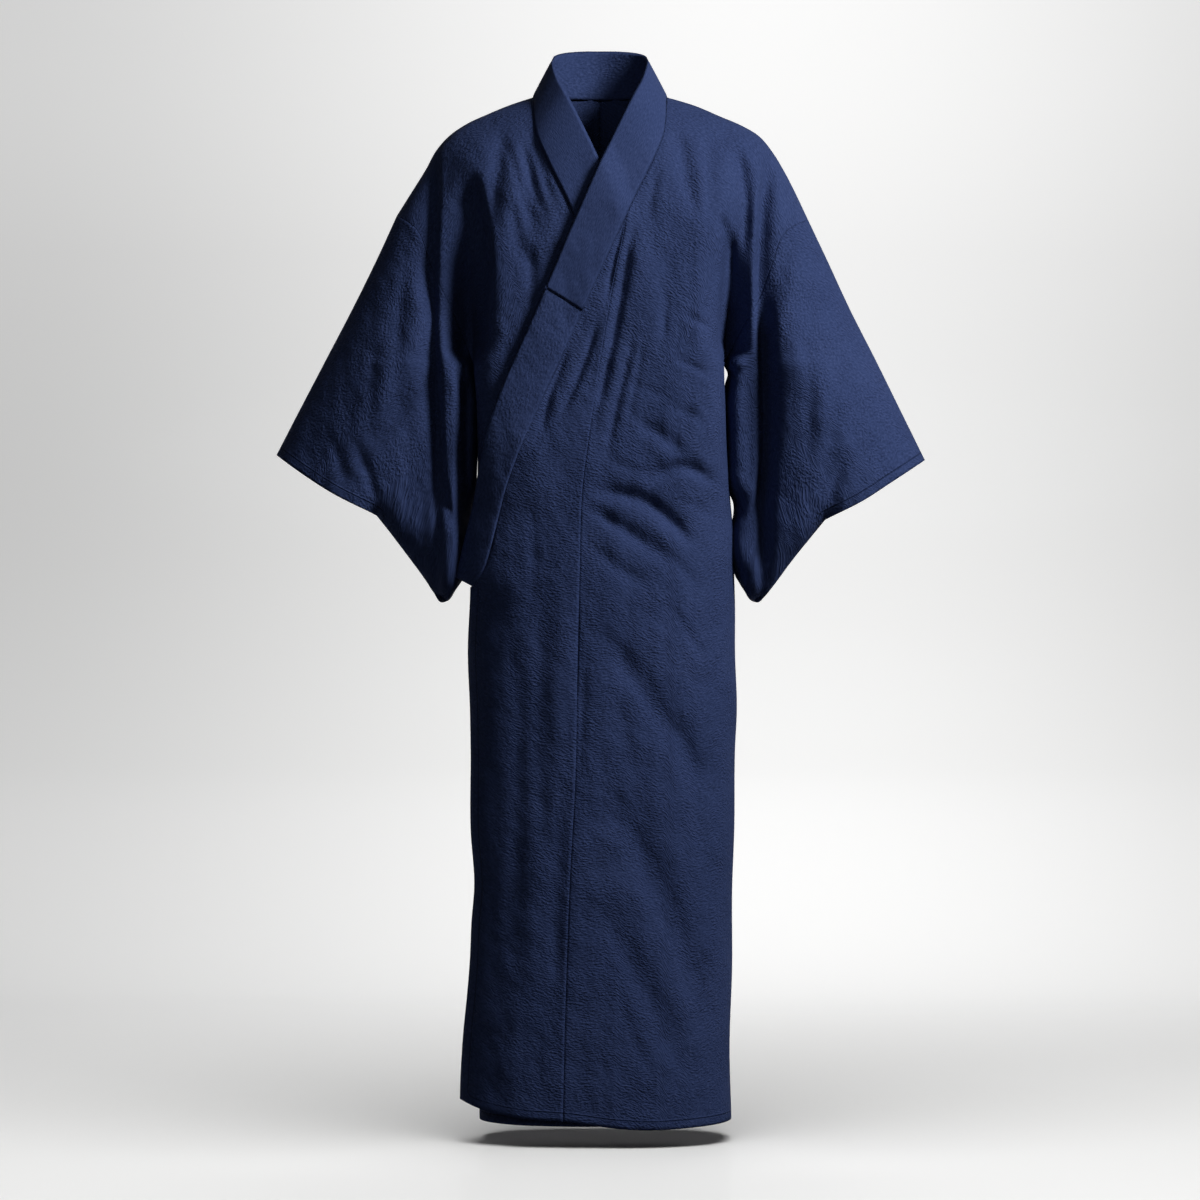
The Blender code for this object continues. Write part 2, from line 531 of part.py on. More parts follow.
def lap_edge(side, levels):
    """Outer edge of a gusset at each height: the collar's seam, then its own hem."""
    rows = np.array(COLLAR, float)[:11]
    levels = np.asarray(levels, float)
    seam = curve(rows[:, 1], rows[:, 0], levels)
    edge = np.array(LAP_EDGE, float)
    free = curve(edge[:, 0], edge[:, 1], levels)
    gap = COLLAR_SEAM + 0.004 * smooth((-0.570 - levels) / 0.050)
    x = np.where(levels > rows[0, 1], seam + gap, free)
    if side == "right":
        low, start, end = RIGHT_SQUEEZE
        x = x * mix(1.0, low, smooth((end - levels) / (end - start)))
        x = np.maximum(x, -0.150)
    return x


def okumi(side):
    """The gusset between a front and the collar, pointed at its top."""
    levels = [OKUMI_TOP] + [z for z in TOP_LEVELS + LOW_LEVELS if z < OKUMI_TOP - 0.01]
    levels = np.array(levels)
    inner = front_edge(side, levels) - SEAM
    outer = lap_edge(side, levels)
    share = np.linspace(0.0, 1.0, COLUMNS_OKUMI + 1)
    x = mix(outer[:, None], inner[:, None], share[None, :])
    z = np.repeat(levels[:, None], COLUMNS_OKUMI + 1, 1)
    sign = 1.0 if side == "left" else -1.0
    y = body_y(side, sign * x, z)
    grid = np.stack([sign * x, y, hem(side, sign * x, z)], axis=-1)
    return solid(f"okumi_{side}", [grid], WALL, NAVY, Vector((0.0, -1.0, 0.0)))


def collar_points(side, rows):
    """The collar's four lines of points at each row, from the seam to the free edge."""
    table = np.array(COLLAR, float)
    index = np.arange(len(table))
    share = np.linspace(0.0, 1.0, COLUMNS_COLLAR + 1)
    seam_x, seam_z, free_x, free_z = (curve(index, table[:, k], rows) for k in range(4))
    x = mix(seam_x[:, None], free_x[:, None], share[None, :])
    z = mix(seam_z[:, None], free_z[:, None], share[None, :])
    if side == "right":
        low, start, end = RIGHT_SQUEEZE
        x = -x * mix(1.0, low, smooth((end - z) / (end - start)))
    seam_y = body_y(side, x[:, 0], np.minimum(z[:, 0], -0.0005))
    seam_y = np.where(seam_z > -0.004, seam_y * smooth(-seam_z / 0.004), seam_y)
    y = body_y(side, x, z)
    onto = smooth((rows - 8.5) / 1.5)[:, None]
    neck_end = curve(*np.array(COLLAR_LEAN, float).T, rows)
    straight = mix(seam_y[:, None], neck_end[:, None], share[None, :])
    if side == "left":
        straight = straight - lift(x, z)
    return np.stack([x, mix(y, straight, onto), z], axis=-1)


def neckline():
    """The collar's seam round the back of the neck, just inside the body's edge."""
    x, z = np.array([row[:2] for row in COLLAR_BACK]).T
    y = body_y("back", x, z)
    turn = np.array([0.75, 0.40, 0.12, 0.0]) * np.pi / 2
    return np.stack([x - NECK_SEAM * np.sin(turn), y - NECK_SEAM * np.cos(turn),
                     z + 0.0012], axis=1)


def collar_grid(count):
    """Rows of the whole collar, from the left front's tip round to the right one's."""
    rows = np.linspace(0.0, 14.0, count)
    left = collar_points("left", rows)
    right = collar_points("right", rows)
    free = np.array([(x, y, z) for _, _, x, z, y in COLLAR_BACK])
    t = np.linspace(0.0, 1.0, 7)[1:]
    seam = path(np.concatenate([left[-1:, 0], neckline()]), t)
    free = path(np.concatenate([left[-1:, -1], free]), t)
    share = np.linspace(0.0, 1.0, COLUMNS_COLLAR + 1)
    half = mix(seam[:, None, :], free[:, None, :], share[None, :, None])
    other = half[:-1][::-1] * [-1.0, 1.0, 1.0]
    return np.concatenate([left, half, other, right[::-1]])


def moved_out(grid, distance):
    """The same points, moved off the face that looks away from the neck."""
    down = np.gradient(grid, axis=0)
    across = np.gradient(grid, axis=1)
    normal = np.cross(across, down)
    normal /= np.linalg.norm(normal, axis=2, keepdims=True)
    return grid - normal * distance


def collar():
    grid = collar_grid(29)
    return solid("collar", [grid], BAND, NAVY, Vector((0.0, 1.0, 0.2)))


def over_collar():
    """The cover over the upper collar, cut straight across at both its ends."""
    grid = collar_grid(29)
    first = int(round(OVER_COLLAR_END * 2))
    grid = moved_out(grid, BAND / 2 + OVER_BAND / 2 + 0.0004)
    return solid("over_collar", [grid[first:len(grid) - first]], OVER_BAND, NAVY_BAND,
                 Vector((0.0, 1.0, 0.2)))


# ------------------------------------------------------------------------------ the robe
for old in list(bpy.data.objects):
    bpy.data.objects.remove(old, do_unlink=True)
collection = bpy.data.collections.new("Cotton yukata robe")
bpy.context.scene.collection.children.link(collection)

for side in ("left", "right"):
    body(side)
    okumi(side)
    sleeve(side)
collar()
over_collar()
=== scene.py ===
"""Cotton yukata robe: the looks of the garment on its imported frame.

Each cut piece is a thin shell of crinkled indigo cotton on the form of its solid, with the
finer creases, seams and stitching that the plain solids leave out. Metres throughout:
+Z is up, the front faces -Y, and +X is the wearer's left.
"""
import math

import bmesh
import bpy
import numpy as np
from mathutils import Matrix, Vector


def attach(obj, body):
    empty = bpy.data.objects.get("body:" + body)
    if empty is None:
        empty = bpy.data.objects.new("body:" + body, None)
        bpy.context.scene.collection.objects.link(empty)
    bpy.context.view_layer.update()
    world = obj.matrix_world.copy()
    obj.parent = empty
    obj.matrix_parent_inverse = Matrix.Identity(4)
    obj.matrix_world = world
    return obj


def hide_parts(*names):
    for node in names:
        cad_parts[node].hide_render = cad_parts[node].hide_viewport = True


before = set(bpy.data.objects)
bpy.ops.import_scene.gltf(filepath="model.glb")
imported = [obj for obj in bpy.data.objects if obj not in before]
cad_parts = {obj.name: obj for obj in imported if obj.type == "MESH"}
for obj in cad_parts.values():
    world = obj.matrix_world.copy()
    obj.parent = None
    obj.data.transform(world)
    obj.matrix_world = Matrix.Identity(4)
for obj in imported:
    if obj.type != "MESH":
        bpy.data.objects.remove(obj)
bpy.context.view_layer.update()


# ------------------------------------------------------------- fronts and back (migoro)
# Two lengths of narrow cotton, one for each side, each running from the front hem over
# the shoulder to the back hem. The half backs meet in a seam at the middle, and the side
# seams close them below the sleeves. Shijira cotton: yarns of two tensions pucker it.
WALL = 0.0008           # how thick the cotton shows at an edge
SEAM = 0.0001           # a panel stops this far short of its seam line
COLLAR_SEAM = 0.0004    # and this far short of it along the collar
NECK_SEAM = 0.0010      # and this far short of it where the collar turns up
LAP = 0.012             # the left front lies this far outside the right one
UNDERARM = -0.370       # height of the lower end of the armhole
HEM = -1.407            # height of the hem
OKUMI_TOP = -0.171      # the front gusset starts at its point
TORSO_POWER = 2.5       # roundness of the body's sections
ARMHOLE_POWER = 6.0     # and beside the open armholes, where the cloth stands out squarer
SLEEVE_FOOT = (0.210, -0.695)   # lowest point of the sleeve bag
SIGN = {"left": 1.0, "right": -1.0}
BODY_COLUMNS = 72
ROW_STEP = 0.005        # length of a cell of the fine grids
TOP_LEVELS = [-0.002, -0.010, -0.026, -0.048, -0.076, -0.106, -0.136, -0.168,
              -0.205, -0.240, -0.275, -0.305, -0.330, -0.351, UNDERARM]

# Shoulder and top of the arm, as a line seen from the front, neck to cuff: x, z
RIDGE = {
    "left": [(0.090, 0.000), (0.130, -0.012), (0.168, -0.028), (0.196, -0.040),
             (0.219, -0.054), (0.239, -0.078), (0.253, -0.101), (0.268, -0.130),
             (0.287, -0.170), (0.313, -0.225), (0.345, -0.294), (0.380, -0.363),
             (0.413, -0.430), (0.448, -0.501)],
    "right": [(0.090, 0.000), (0.126, -0.012), (0.155, -0.024), (0.185, -0.038),
              (0.208, -0.054), (0.225, -0.073), (0.240, -0.100), (0.258, -0.129),
              (0.280, -0.164), (0.308, -0.225), (0.342, -0.294), (0.378, -0.363),
              (0.413, -0.430), (0.446, -0.494)],
}
RIDGE_AT_ARMHOLE = 8    # the row of RIDGE where body and sleeve meet

# Seam of body and sleeve, from the shoulder to the underarm: x, z
ARMHOLE = {
    ("left", "front"): [(0.287, -0.170), (0.254, -0.190), (0.234, -0.238),
                        (0.215, -0.288), (0.199, -0.315), (0.183, -0.345), (0.1710, UNDERARM)],
    ("left", "back"): [(0.287, -0.170), (0.262, -0.212), (0.237, -0.262),
                       (0.210, -0.312), (0.189, -0.346), (0.1710, UNDERARM)],
    ("right", "front"): [(0.280, -0.164), (0.250, -0.188), (0.233, -0.232),
                         (0.217, -0.268), (0.200, -0.302), (0.186, -0.338), (0.1745, UNDERARM)],
    ("right", "back"): [(0.280, -0.164), (0.257, -0.208), (0.233, -0.258),
                        (0.208, -0.308), (0.189, -0.344), (0.1745, UNDERARM)],
}

# Half widths of the body, and half depths: the right front and back are one tube,
# and the left front runs round the outside of it on the wearer's right.
#   z, left side, right side, lap on the right side, front, back
BODY = [
    (-0.130, 0.184, 0.182, 0.184, 0.112, 0.108),
    (-0.200, 0.182, 0.179, 0.184, 0.116, 0.113),
    (-0.300, 0.176, 0.176, 0.184, 0.119, 0.113),
    (UNDERARM, 0.1700, 0.1735, 0.184, 0.120, 0.110),
    (-0.430, 0.1715, 0.1690, 0.186, 0.121, 0.105),
    (-0.490, 0.1740, 0.1680, 0.188, 0.122, 0.104),
    (-0.550, 0.1790, 0.1690, 0.194, 0.122, 0.109),
    (-0.610, 0.1840, 0.1700, 0.203, 0.122, 0.117),
    (-0.665, 0.1850, 0.1710, 0.206, 0.122, 0.123),
    (-0.700, 0.1860, 0.1710, 0.190, 0.122, 0.125),
    (-0.765, 0.1860, 0.1710, 0.189, 0.122, 0.125),
    (-0.846, 0.1885, 0.1710, 0.188, 0.121, 0.123),
    (-0.900, 0.1860, 0.1700, 0.187, 0.120, 0.121),
    (-1.010, 0.1850, 0.1690, 0.188, 0.119, 0.118),
    (-1.094, 0.1820, 0.1670, 0.184, 0.118, 0.117),
    (-1.200, 0.1820, 0.1665, 0.189, 0.117, 0.116),
    (-1.310, 0.1785, 0.1660, 0.197, 0.116, 0.115),
    (-1.410, 0.1810, 0.1660, 0.201, 0.116, 0.115),
]
BODY_NAMES = ("z", "left", "right", "lap", "front", "back")

# Depth of the chest and back under the shoulder line: z, front, back
CHEST = [(0.010, 0.098, 0.074), (-0.060, 0.104, 0.088), (-0.130, 0.112, 0.104),
         (-0.200, 0.117, 0.112), (-0.300, 0.120, 0.112), (-0.380, 0.121, 0.109)]

# Seam of the front and its gusset, from the collar to the hem: z, x
OKUMI_SEAM = [(-0.168, 0.036), (-0.205, 0.030), (-0.262, 0.018), (-0.325, 0.007),
              (-0.388, -0.003), (-0.463, -0.014), (-0.540, -0.024), (-0.658, -0.028),
              (-0.787, -0.031), (-0.940, -0.034), (-1.064, -0.041), (-1.234, -0.047),
              (-1.410, -0.051)]

# Collar, from its lower tip to the neck point: outer seam x, z, free edge x, z
COLLAR = [
    (-0.1735, -0.6760, -0.1970, -0.6630),
    (-0.1560, -0.6450, -0.1870, -0.6200),
    (-0.1400, -0.5850, -0.1740, -0.5680),
    (-0.1280, -0.5400, -0.1660, -0.5250),
    (-0.1100, -0.4910, -0.1540, -0.4650),
    (-0.0860, -0.4370, -0.1330, -0.4050),
    (-0.0580, -0.3760, -0.1040, -0.3390),
    (-0.0260, -0.3040, -0.0750, -0.2730),
    (0.0060, -0.2340, -0.0410, -0.1920),
    (0.0450, -0.1490, -0.0010, -0.1000),
    (0.0650, -0.1080, 0.0230, -0.0480),
    (0.0820, -0.0670, 0.0440, -0.0040),
    (0.0870, -0.0400, 0.0550, 0.0180),
    (0.0890, -0.0160, 0.0615, 0.0380),
    (0.0905, 0.0000, 0.0640, 0.0500),
]
# Collar round the back of the neck: seam x, z, free edge x, z, y
COLLAR_BACK = [
    (0.0835, 0.0020, 0.0605, 0.0590, 0.0210),
    (0.0680, 0.0035, 0.0480, 0.0660, 0.0400),
    (0.0400, 0.0045, 0.0275, 0.0695, 0.0525),
    (0.0000, 0.0050, 0.0000, 0.0705, 0.0585),
]
RIGHT_SQUEEZE = (0.78, -0.40, -0.20)    # the hidden side is narrower below, from z to z

# Height of the hem of the left front: x, z
HEM_LINE = [(-0.195, -1.375), (-0.162, -1.386), (-0.105, -1.396), (-0.042, -1.400),
            (0.018, -1.408), (0.060, -1.411), (0.142, -1.409), (0.182, -1.407)]

# Folds of the robe's form, as troughs in the outer face:
#   start x, z, middle x, z, end x, z, depth, width
FOLDS = {"front": [
    (0.105, -0.045, 0.114, -0.100, 0.130, -0.185, 0.0060, 0.010),
    (0.184, -0.060, 0.197, -0.140, 0.196, -0.230, 0.0170, 0.010),
    (0.160, -0.165, 0.172, -0.199, 0.176, -0.255, 0.0110, 0.007),
    (0.148, -0.050, 0.150, -0.120, 0.146, -0.200, 0.0050, 0.011),
    (-0.099, -0.045, -0.096, -0.123, -0.087, -0.215, 0.0060, 0.010),
    (-0.132, -0.045, -0.140, -0.123, -0.149, -0.200, 0.0070, 0.011),
    (0.048, -0.450, 0.084, -0.474, 0.118, -0.503, 0.0060, 0.010),
    (0.056, -0.540, 0.112, -0.513, 0.166, -0.542, 0.0100, 0.009),
    (-0.020, -0.545, 0.054, -0.557, 0.136, -0.628, 0.0115, 0.010),
    (-0.026, -0.562, 0.040, -0.604, 0.110, -0.655, 0.0085, 0.010),
    (-0.014, -0.618, 0.027, -0.653, 0.074, -0.682, 0.0045, 0.010),
    (0.000, -0.925, 0.064, -1.050, 0.165, -1.310, 0.0100, 0.022),
    (-0.012, -0.715, 0.068, -0.829, 0.160, -0.975, 0.0095, 0.019),
    (0.000, -1.090, 0.054, -1.207, 0.124, -1.350, 0.0080, 0.020),
    (-0.108, -0.700, -0.113, -0.964, -0.119, -1.250, 0.0055, 0.016),
    (-0.074, -0.630, -0.081, -0.829, -0.074, -1.110, 0.0045, 0.014),
], "back": [
    (0.060, -0.120, 0.052, -0.260, 0.050, -0.420, 0.0090, 0.020),
    (-0.055, -0.130, -0.050, -0.250, -0.046, -0.400, 0.0080, 0.018),
    (0.130, -0.080, 0.140, -0.180, 0.142, -0.330, 0.0130, 0.016),
    (-0.128, -0.085, -0.136, -0.180, -0.140, -0.320, 0.0120, 0.016),
    (0.290, -0.330, 0.300, -0.440, 0.296, -0.560, 0.0100, 0.016),
    (-0.286, -0.330, -0.296, -0.440, -0.292, -0.560, 0.0100, 0.016),
    (0.020, -0.480, 0.080, -0.500, 0.140, -0.480, 0.0060, 0.012),
    (-0.015, -0.520, -0.075, -0.545, -0.140, -0.525, 0.0060, 0.012),
    (0.070, -0.640, 0.082, -0.900, 0.090, -1.220, 0.0070, 0.022),
    (-0.062, -0.620, -0.072, -0.860, -0.084, -1.180, 0.0065, 0.020),
    (0.126, -0.760, 0.134, -1.000, 0.138, -1.300, 0.0055, 0.016),
    (-0.120, -0.820, -0.126, -1.040, -0.130, -1.320, 0.0055, 0.016),
]}

# Deep folds that tuck in behind a crisp edge and come out again softly, top to bottom:
#   depth, width on the -x side, width on the +x side, points x, z
TUCKS = {"front": [
    (0.026, 0.005, 0.013, [(0.231, -0.070), (0.226, -0.110), (0.219, -0.186),
                           (0.218, -0.310), (0.227, -0.419), (0.222, -0.529),
                           (0.206, -0.600)]),
    (0.020, 0.014, 0.004, [(-0.224, -0.072), (-0.223, -0.122), (-0.225, -0.191),
                           (-0.227, -0.280), (-0.223, -0.410), (-0.217, -0.480),
                           (-0.212, -0.540), (-0.196, -0.600)]),
    (0.044, 0.026, 0.005, [(-0.174, -0.110), (-0.164, -0.150), (-0.155, -0.205),
                           (-0.154, -0.300), (-0.161, -0.349), (-0.178, -0.381)]),
    (0.026, 0.005, 0.012, [(0.180, -0.185), (0.172, -0.235), (0.167, -0.290),
                           (0.167, -0.345), (0.172, -0.385)]),
], "back": [
    (0.026, 0.005, 0.020, [(0.240, -0.100), (0.233, -0.170), (0.231, -0.260),
                           (0.236, -0.400), (0.226, -0.560)]),
    (0.026, 0.020, 0.005, [(-0.236, -0.100), (-0.230, -0.180), (-0.229, -0.270),
                           (-0.234, -0.390), (-0.224, -0.550)]),
    (0.026, 0.006, 0.024, [(0.160, -0.190), (0.152, -0.250), (0.158, -0.330),
                           (0.170, -0.380)]),
    (0.026, 0.024, 0.006, [(-0.158, -0.200), (-0.151, -0.260), (-0.158, -0.335),
                           (-0.172, -0.380)]),
]}

# Finer creases, in the columns of FOLDS
CREASES = {"front": [
    (-0.098, -0.050, -0.080, -0.104, -0.060, -0.172, 0.0040, 0.0045),
    (-0.113, -0.056, -0.095, -0.113, -0.071, -0.185, 0.0040, 0.0045),
    (-0.129, -0.060, -0.113, -0.117, -0.095, -0.190, 0.0036, 0.0050),
    (-0.118, -0.150, -0.112, -0.200, -0.100, -0.250, 0.0040, 0.0080),
    (-0.096, -0.205, -0.093, -0.250, -0.086, -0.310, 0.0060, 0.0085),
    (0.081, -0.095, 0.074, -0.130, 0.064, -0.185, 0.0036, 0.0060),
    (0.050, -0.150, 0.023, -0.316, -0.015, -0.486, 0.0095, 0.0062),
    (0.040, -0.160, 0.019, -0.236, 0.008, -0.300, 0.0040, 0.0042),
    (0.049, -0.320, 0.027, -0.414, 0.004, -0.520, 0.0052, 0.0056),
    (0.062, -0.330, 0.049, -0.400, 0.036, -0.460, 0.0026, 0.0050),
    (0.000, -0.305, -0.020, -0.370, -0.058, -0.455, 0.0060, 0.0055),
    (-0.036, -0.335, -0.066, -0.412, -0.086, -0.490, 0.0056, 0.0062),
    (0.091, -0.275, 0.088, -0.310, 0.085, -0.350, 0.0030, 0.0050),
    (0.106, -0.303, 0.131, -0.316, 0.153, -0.328, 0.0040, 0.0042),
    (0.098, -0.366, 0.125, -0.378, 0.150, -0.390, 0.0036, 0.0042),
    (0.132, -0.430, 0.108, -0.460, 0.086, -0.494, 0.0060, 0.0085),
    (0.030, -0.402, 0.070, -0.410, 0.104, -0.432, 0.0018, 0.0060),
    (0.084, -0.430, 0.120, -0.440, 0.152, -0.462, 0.0020, 0.0060),
    (0.010, -0.505, 0.060, -0.520, 0.096, -0.512, 0.0022, 0.0060),
    (0.090, -0.560, 0.130, -0.566, 0.168, -0.590, 0.0024, 0.0060),
    (0.040, -0.590, 0.090, -0.628, 0.140, -0.690, 0.0026, 0.0070),
    (0.080, -0.690, 0.110, -0.725, 0.150, -0.790, 0.0022, 0.0080),
    (-0.030, -0.690, -0.032, -0.760, -0.034, -0.850, 0.0030, 0.0045),
    (-0.023, -0.748, -0.023, -0.829, -0.031, -0.951, 0.0030, 0.0060),
    (-0.135, -0.829, -0.142, -1.032, -0.149, -1.303, 0.0030, 0.0110),
    (-0.052, -0.900, -0.058, -1.080, -0.060, -1.300, 0.0028, 0.0100),
    (-0.092, -0.560, -0.088, -0.640, -0.098, -0.740, 0.0022, 0.0070),
    (0.100, -0.800, 0.124, -0.940, 0.150, -1.100, 0.0026, 0.0120),
    (0.020, -0.780, 0.040, -0.900, 0.080, -1.040, 0.0026, 0.0120),
    (0.020, -1.200, 0.040, -1.270, 0.070, -1.340, 0.0022, 0.0100),
    (0.270, -0.300, 0.285, -0.400, 0.280, -0.520, 0.0040, 0.0110),
    (0.318, -0.400, 0.316, -0.480, 0.300, -0.560, 0.0035, 0.0100),
    (0.305, -0.575, 0.318, -0.540, 0.340, -0.485, 0.0050, 0.0080),
    (0.350, -0.555, 0.356, -0.520, 0.376, -0.470, 0.0030, 0.0080),
    (-0.266, -0.240, -0.276, -0.360, -0.268, -0.480, 0.0040, 0.0100),
    (-0.302, -0.571, -0.312, -0.531, -0.338, -0.476, 0.0050, 0.0080),
    (-0.340, -0.550, -0.352, -0.510, -0.374, -0.460, 0.0030, 0.0080),
    (-0.300, -0.340, -0.312, -0.420, -0.306, -0.500, 0.0030, 0.0100),
], "back": [
    (0.100, -0.100, 0.098, -0.190, 0.092, -0.300, 0.0030, 0.0070),
    (-0.096, -0.110, -0.090, -0.200, -0.086, -0.290, 0.0030, 0.0070),
    (0.010, -0.440, 0.060, -0.452, 0.110, -0.440, 0.0024, 0.0060),
    (-0.040, -0.470, -0.084, -0.486, -0.130, -0.470, 0.0024, 0.0060),
    (0.040, -0.545, 0.090, -0.560, 0.150, -0.552, 0.0026, 0.0070),
    (-0.030, -0.590, -0.080, -0.612, -0.136, -0.604, 0.0022, 0.0070),
    (0.034, -0.700, 0.040, -0.860, 0.046, -1.020, 0.0026, 0.0090),
    (-0.036, -0.760, -0.042, -0.900, -0.046, -1.100, 0.0026, 0.0090),
    (0.260, -0.260, 0.270, -0.360, 0.262, -0.480, 0.0040, 0.0110),
    (-0.262, -0.270, -0.270, -0.370, -0.266, -0.500, 0.0040, 0.0110),
    (0.310, -0.560, 0.322, -0.520, 0.346, -0.470, 0.0040, 0.0080),
    (-0.308, -0.556, -0.322, -0.512, -0.344, -0.466, 0.0040, 0.0080),
]}

FOLD_FADE = 0.3         # share of a fold's length over which each end runs out
TUCK_FADE = (0.16, 0.14)    # and of a tuck's, at its top and foot
TUCK_LIMIT = 0.80       # no fold goes deeper than this share of the way to the other face
CRUMPLE = [(0.0004, 0.030, 26), (0.0009, 0.085, 20)]    # height, wavelength, waves
CRUMPLE_SEED = {"front": 11, "back": 23}


def smooth(t):
    """0 to 1 with level ends."""
    t = np.clip(t, 0.0, 1.0)
    return t * t * (3.0 - 2.0 * t)


def dome(t):
    """Quarter circle: 0 at t = 0, and 1 from t = 1 on."""
    return np.sqrt(1.0 - (1.0 - np.clip(t, 0.0, 1.0)) ** 2)


def mix(a, b, t):
    return a + (b - a) * t


def curve(keys, values, at):
    """A soft curve through the rows of a table, level beyond its ends."""
    keys, values = np.asarray(keys, float), np.asarray(values, float)
    if keys[0] > keys[-1]:
        keys, values = keys[::-1], values[::-1]
    slope = np.gradient(values, keys)
    at = np.clip(np.asarray(at, float), keys[0], keys[-1])
    i = np.clip(np.searchsorted(keys, at) - 1, 0, len(keys) - 2)
    step = keys[i + 1] - keys[i]
    t = (at - keys[i]) / step
    return ((1 + 2 * t) * (1 - t) ** 2 * values[i] + t * (1 - t) ** 2 * step * slope[i]
            + t * t * (3 - 2 * t) * values[i + 1] - t * t * (1 - t) * step * slope[i + 1])


def column(table, names, name, z):
    rows = np.array(table, float)
    return curve(rows[:, 0], rows[:, names.index(name)], z)


def path(points, t):
    """Points at the shares t of the length of a soft line through the rows."""
    points = np.asarray(points, float)
    run = np.concatenate([[0.0], np.cumsum(np.linalg.norm(np.diff(points, axis=0), axis=1))])
    return np.stack([curve(run, points[:, k], np.asarray(t) * run[-1])
                     for k in range(points.shape[1])], axis=1)


def nearest(line, x, z):
    """Distance to a line of points x, z, the share along it, and which side (+1, -1)."""
    best, along = np.full(np.shape(x), 9.0), np.zeros(np.shape(x))
    side = np.ones(np.shape(x))
    for i, ((ax, az), (bx, bz)) in enumerate(zip(line[:-1], line[1:])):
        ux, uz = bx - ax, bz - az
        t = np.clip(((x - ax) * ux + (z - az) * uz) / (ux * ux + uz * uz), 0.0, 1.0)
        d = np.hypot(x - ax - t * ux, z - az - t * uz)
        turn = np.sign(ux * (z - az) - uz * (x - ax))
        along = np.where(d < best, (i + t) / (len(line) - 1), along)
        side = np.where(d < best, turn, side)
        best = np.minimum(best, d)
    return best, along, side


def away(line, x, z):
    return nearest(path(line, np.linspace(0.0, 1.0, 40)), x, z)[0]


def patch(top, bottom, left, right):
    """A grid of points between four edges that share their corners (Coons)."""
    rows, columns = len(left), len(top)
    v = np.broadcast_to(np.linspace(0.0, 1.0, rows)[:, None, None], (rows, columns, 1))
    u = np.broadcast_to(np.linspace(0.0, 1.0, columns)[None, :, None], (rows, columns, 1))
    across = mix(left[:, None, :], right[:, None, :], u)
    down = mix(top[None, :, :], bottom[None, :, :], v)
    corners = mix(mix(left[0], right[0], u), mix(left[-1], right[-1], u), v)
    return across + down - corners


def crumple(face, x, z):
    """Soft uneven bumps all over the cloth, as one height for each point."""
    total = np.zeros(np.shape(x))
    for height, length, count in CRUMPLE:
        rng = np.random.default_rng(CRUMPLE_SEED[face] + count)
        for _ in range(count):
            way = rng.normal(size=2) * [1.25, 0.8]
            way *= rng.uniform(0.6, 1.7) * 2.0 * math.pi / (length * np.linalg.norm(way))
            wave = np.sin(x * way[0] + z * way[1] + rng.uniform(0.0, 6.3))
            total += height * wave / count ** 0.5
    return total


def troughs(face, x, z, half):
    """Half depth of one face with its folds and creases taken out of it."""
    depth = np.zeros(np.shape(x))
    for x0, z0, x1, z1, x2, z2, deep, wide in FOLDS[face] + CREASES[face]:
        line = path([(x0, z0), (x1, z1), (x2, z2)], np.linspace(0.0, 1.0, 9))
        best, along = nearest(line, x, z)[:2]
        ends = smooth(along / FOLD_FADE) * smooth((1.0 - along) / FOLD_FADE)
        depth = depth + deep * ends * np.exp(-(best / wide) ** 2)
    for deep, before, after, line in TUCKS[face]:
        best, along, side = nearest(path(line, np.linspace(0.0, 1.0, 30)), x, z)
        ends = smooth(along / TUCK_FADE[0]) * smooth((1.0 - along) / TUCK_FADE[1])
        depth = depth + deep * ends * np.exp(-(best / np.where(side > 0, after, before)) ** 2)
    most = TUCK_LIMIT * np.maximum(half, 1e-5)
    taken = most * (1.0 - np.exp(-depth * smooth(half / 0.020) / most))
    return half - taken + crumple(face, x, z) * smooth(half / 0.040)


def upper(side, face, x, z):
    """Half depth that rounds away from the line of the shoulder and arm."""
    d = away(RIDGE[side], x, z)
    chest = smooth((0.270 - x) / 0.140)
    arm = 0.052 - 0.022 * smooth((d - 0.060) / 0.160)
    full = mix(arm, column(CHEST, ("z", "front", "back"), face, z), chest)
    reach = mix(0.055, 0.160, chest)
    t = np.clip(d / reach, 0.0, 1.0)
    return full * (1.0 - (1.0 - t) ** 2) ** mix(0.5, 0.70, chest)


def ring(x, half_width, half_depth, power):
    t = np.clip(np.abs(x) / half_width, 0.0, 1.0)
    return half_depth * (1.0 - t ** power) ** (1.0 / power)


def hollow_side(beyond, z):
    """0 at the body's side and 1 on the sleeve, round at its edge below the underarm."""
    open_side = smooth((z - UNDERARM) / 0.020)
    return mix(dome((beyond - 0.006) / 0.030), smooth((beyond - 0.006) / 0.036), open_side)


def split(z):
    """0 at the shoulder, 1 from the underarm down, where sleeve and body part."""
    t = np.clip((z - UNDERARM) / (-0.130 - UNDERARM), 0.0, 1.0)
    return 1.0 - 0.10 * dome(t / 0.08) - 0.90 * smooth(t)


def right_edge(z):
    """The free edge of the right front, hidden inside: its x at each height."""
    rows = np.array(COLLAR, float)
    low, start, end = RIGHT_SQUEEZE
    return -curve(rows[:, 3], rows[:, 2], z) * mix(1.0, low, smooth((end - z) / (end - start)))


def lift(x, z):
    """How far the left front stands off the chest where the right one lies under it."""
    return LAP * smooth((right_edge(z) + 0.030 - x) / 0.040)


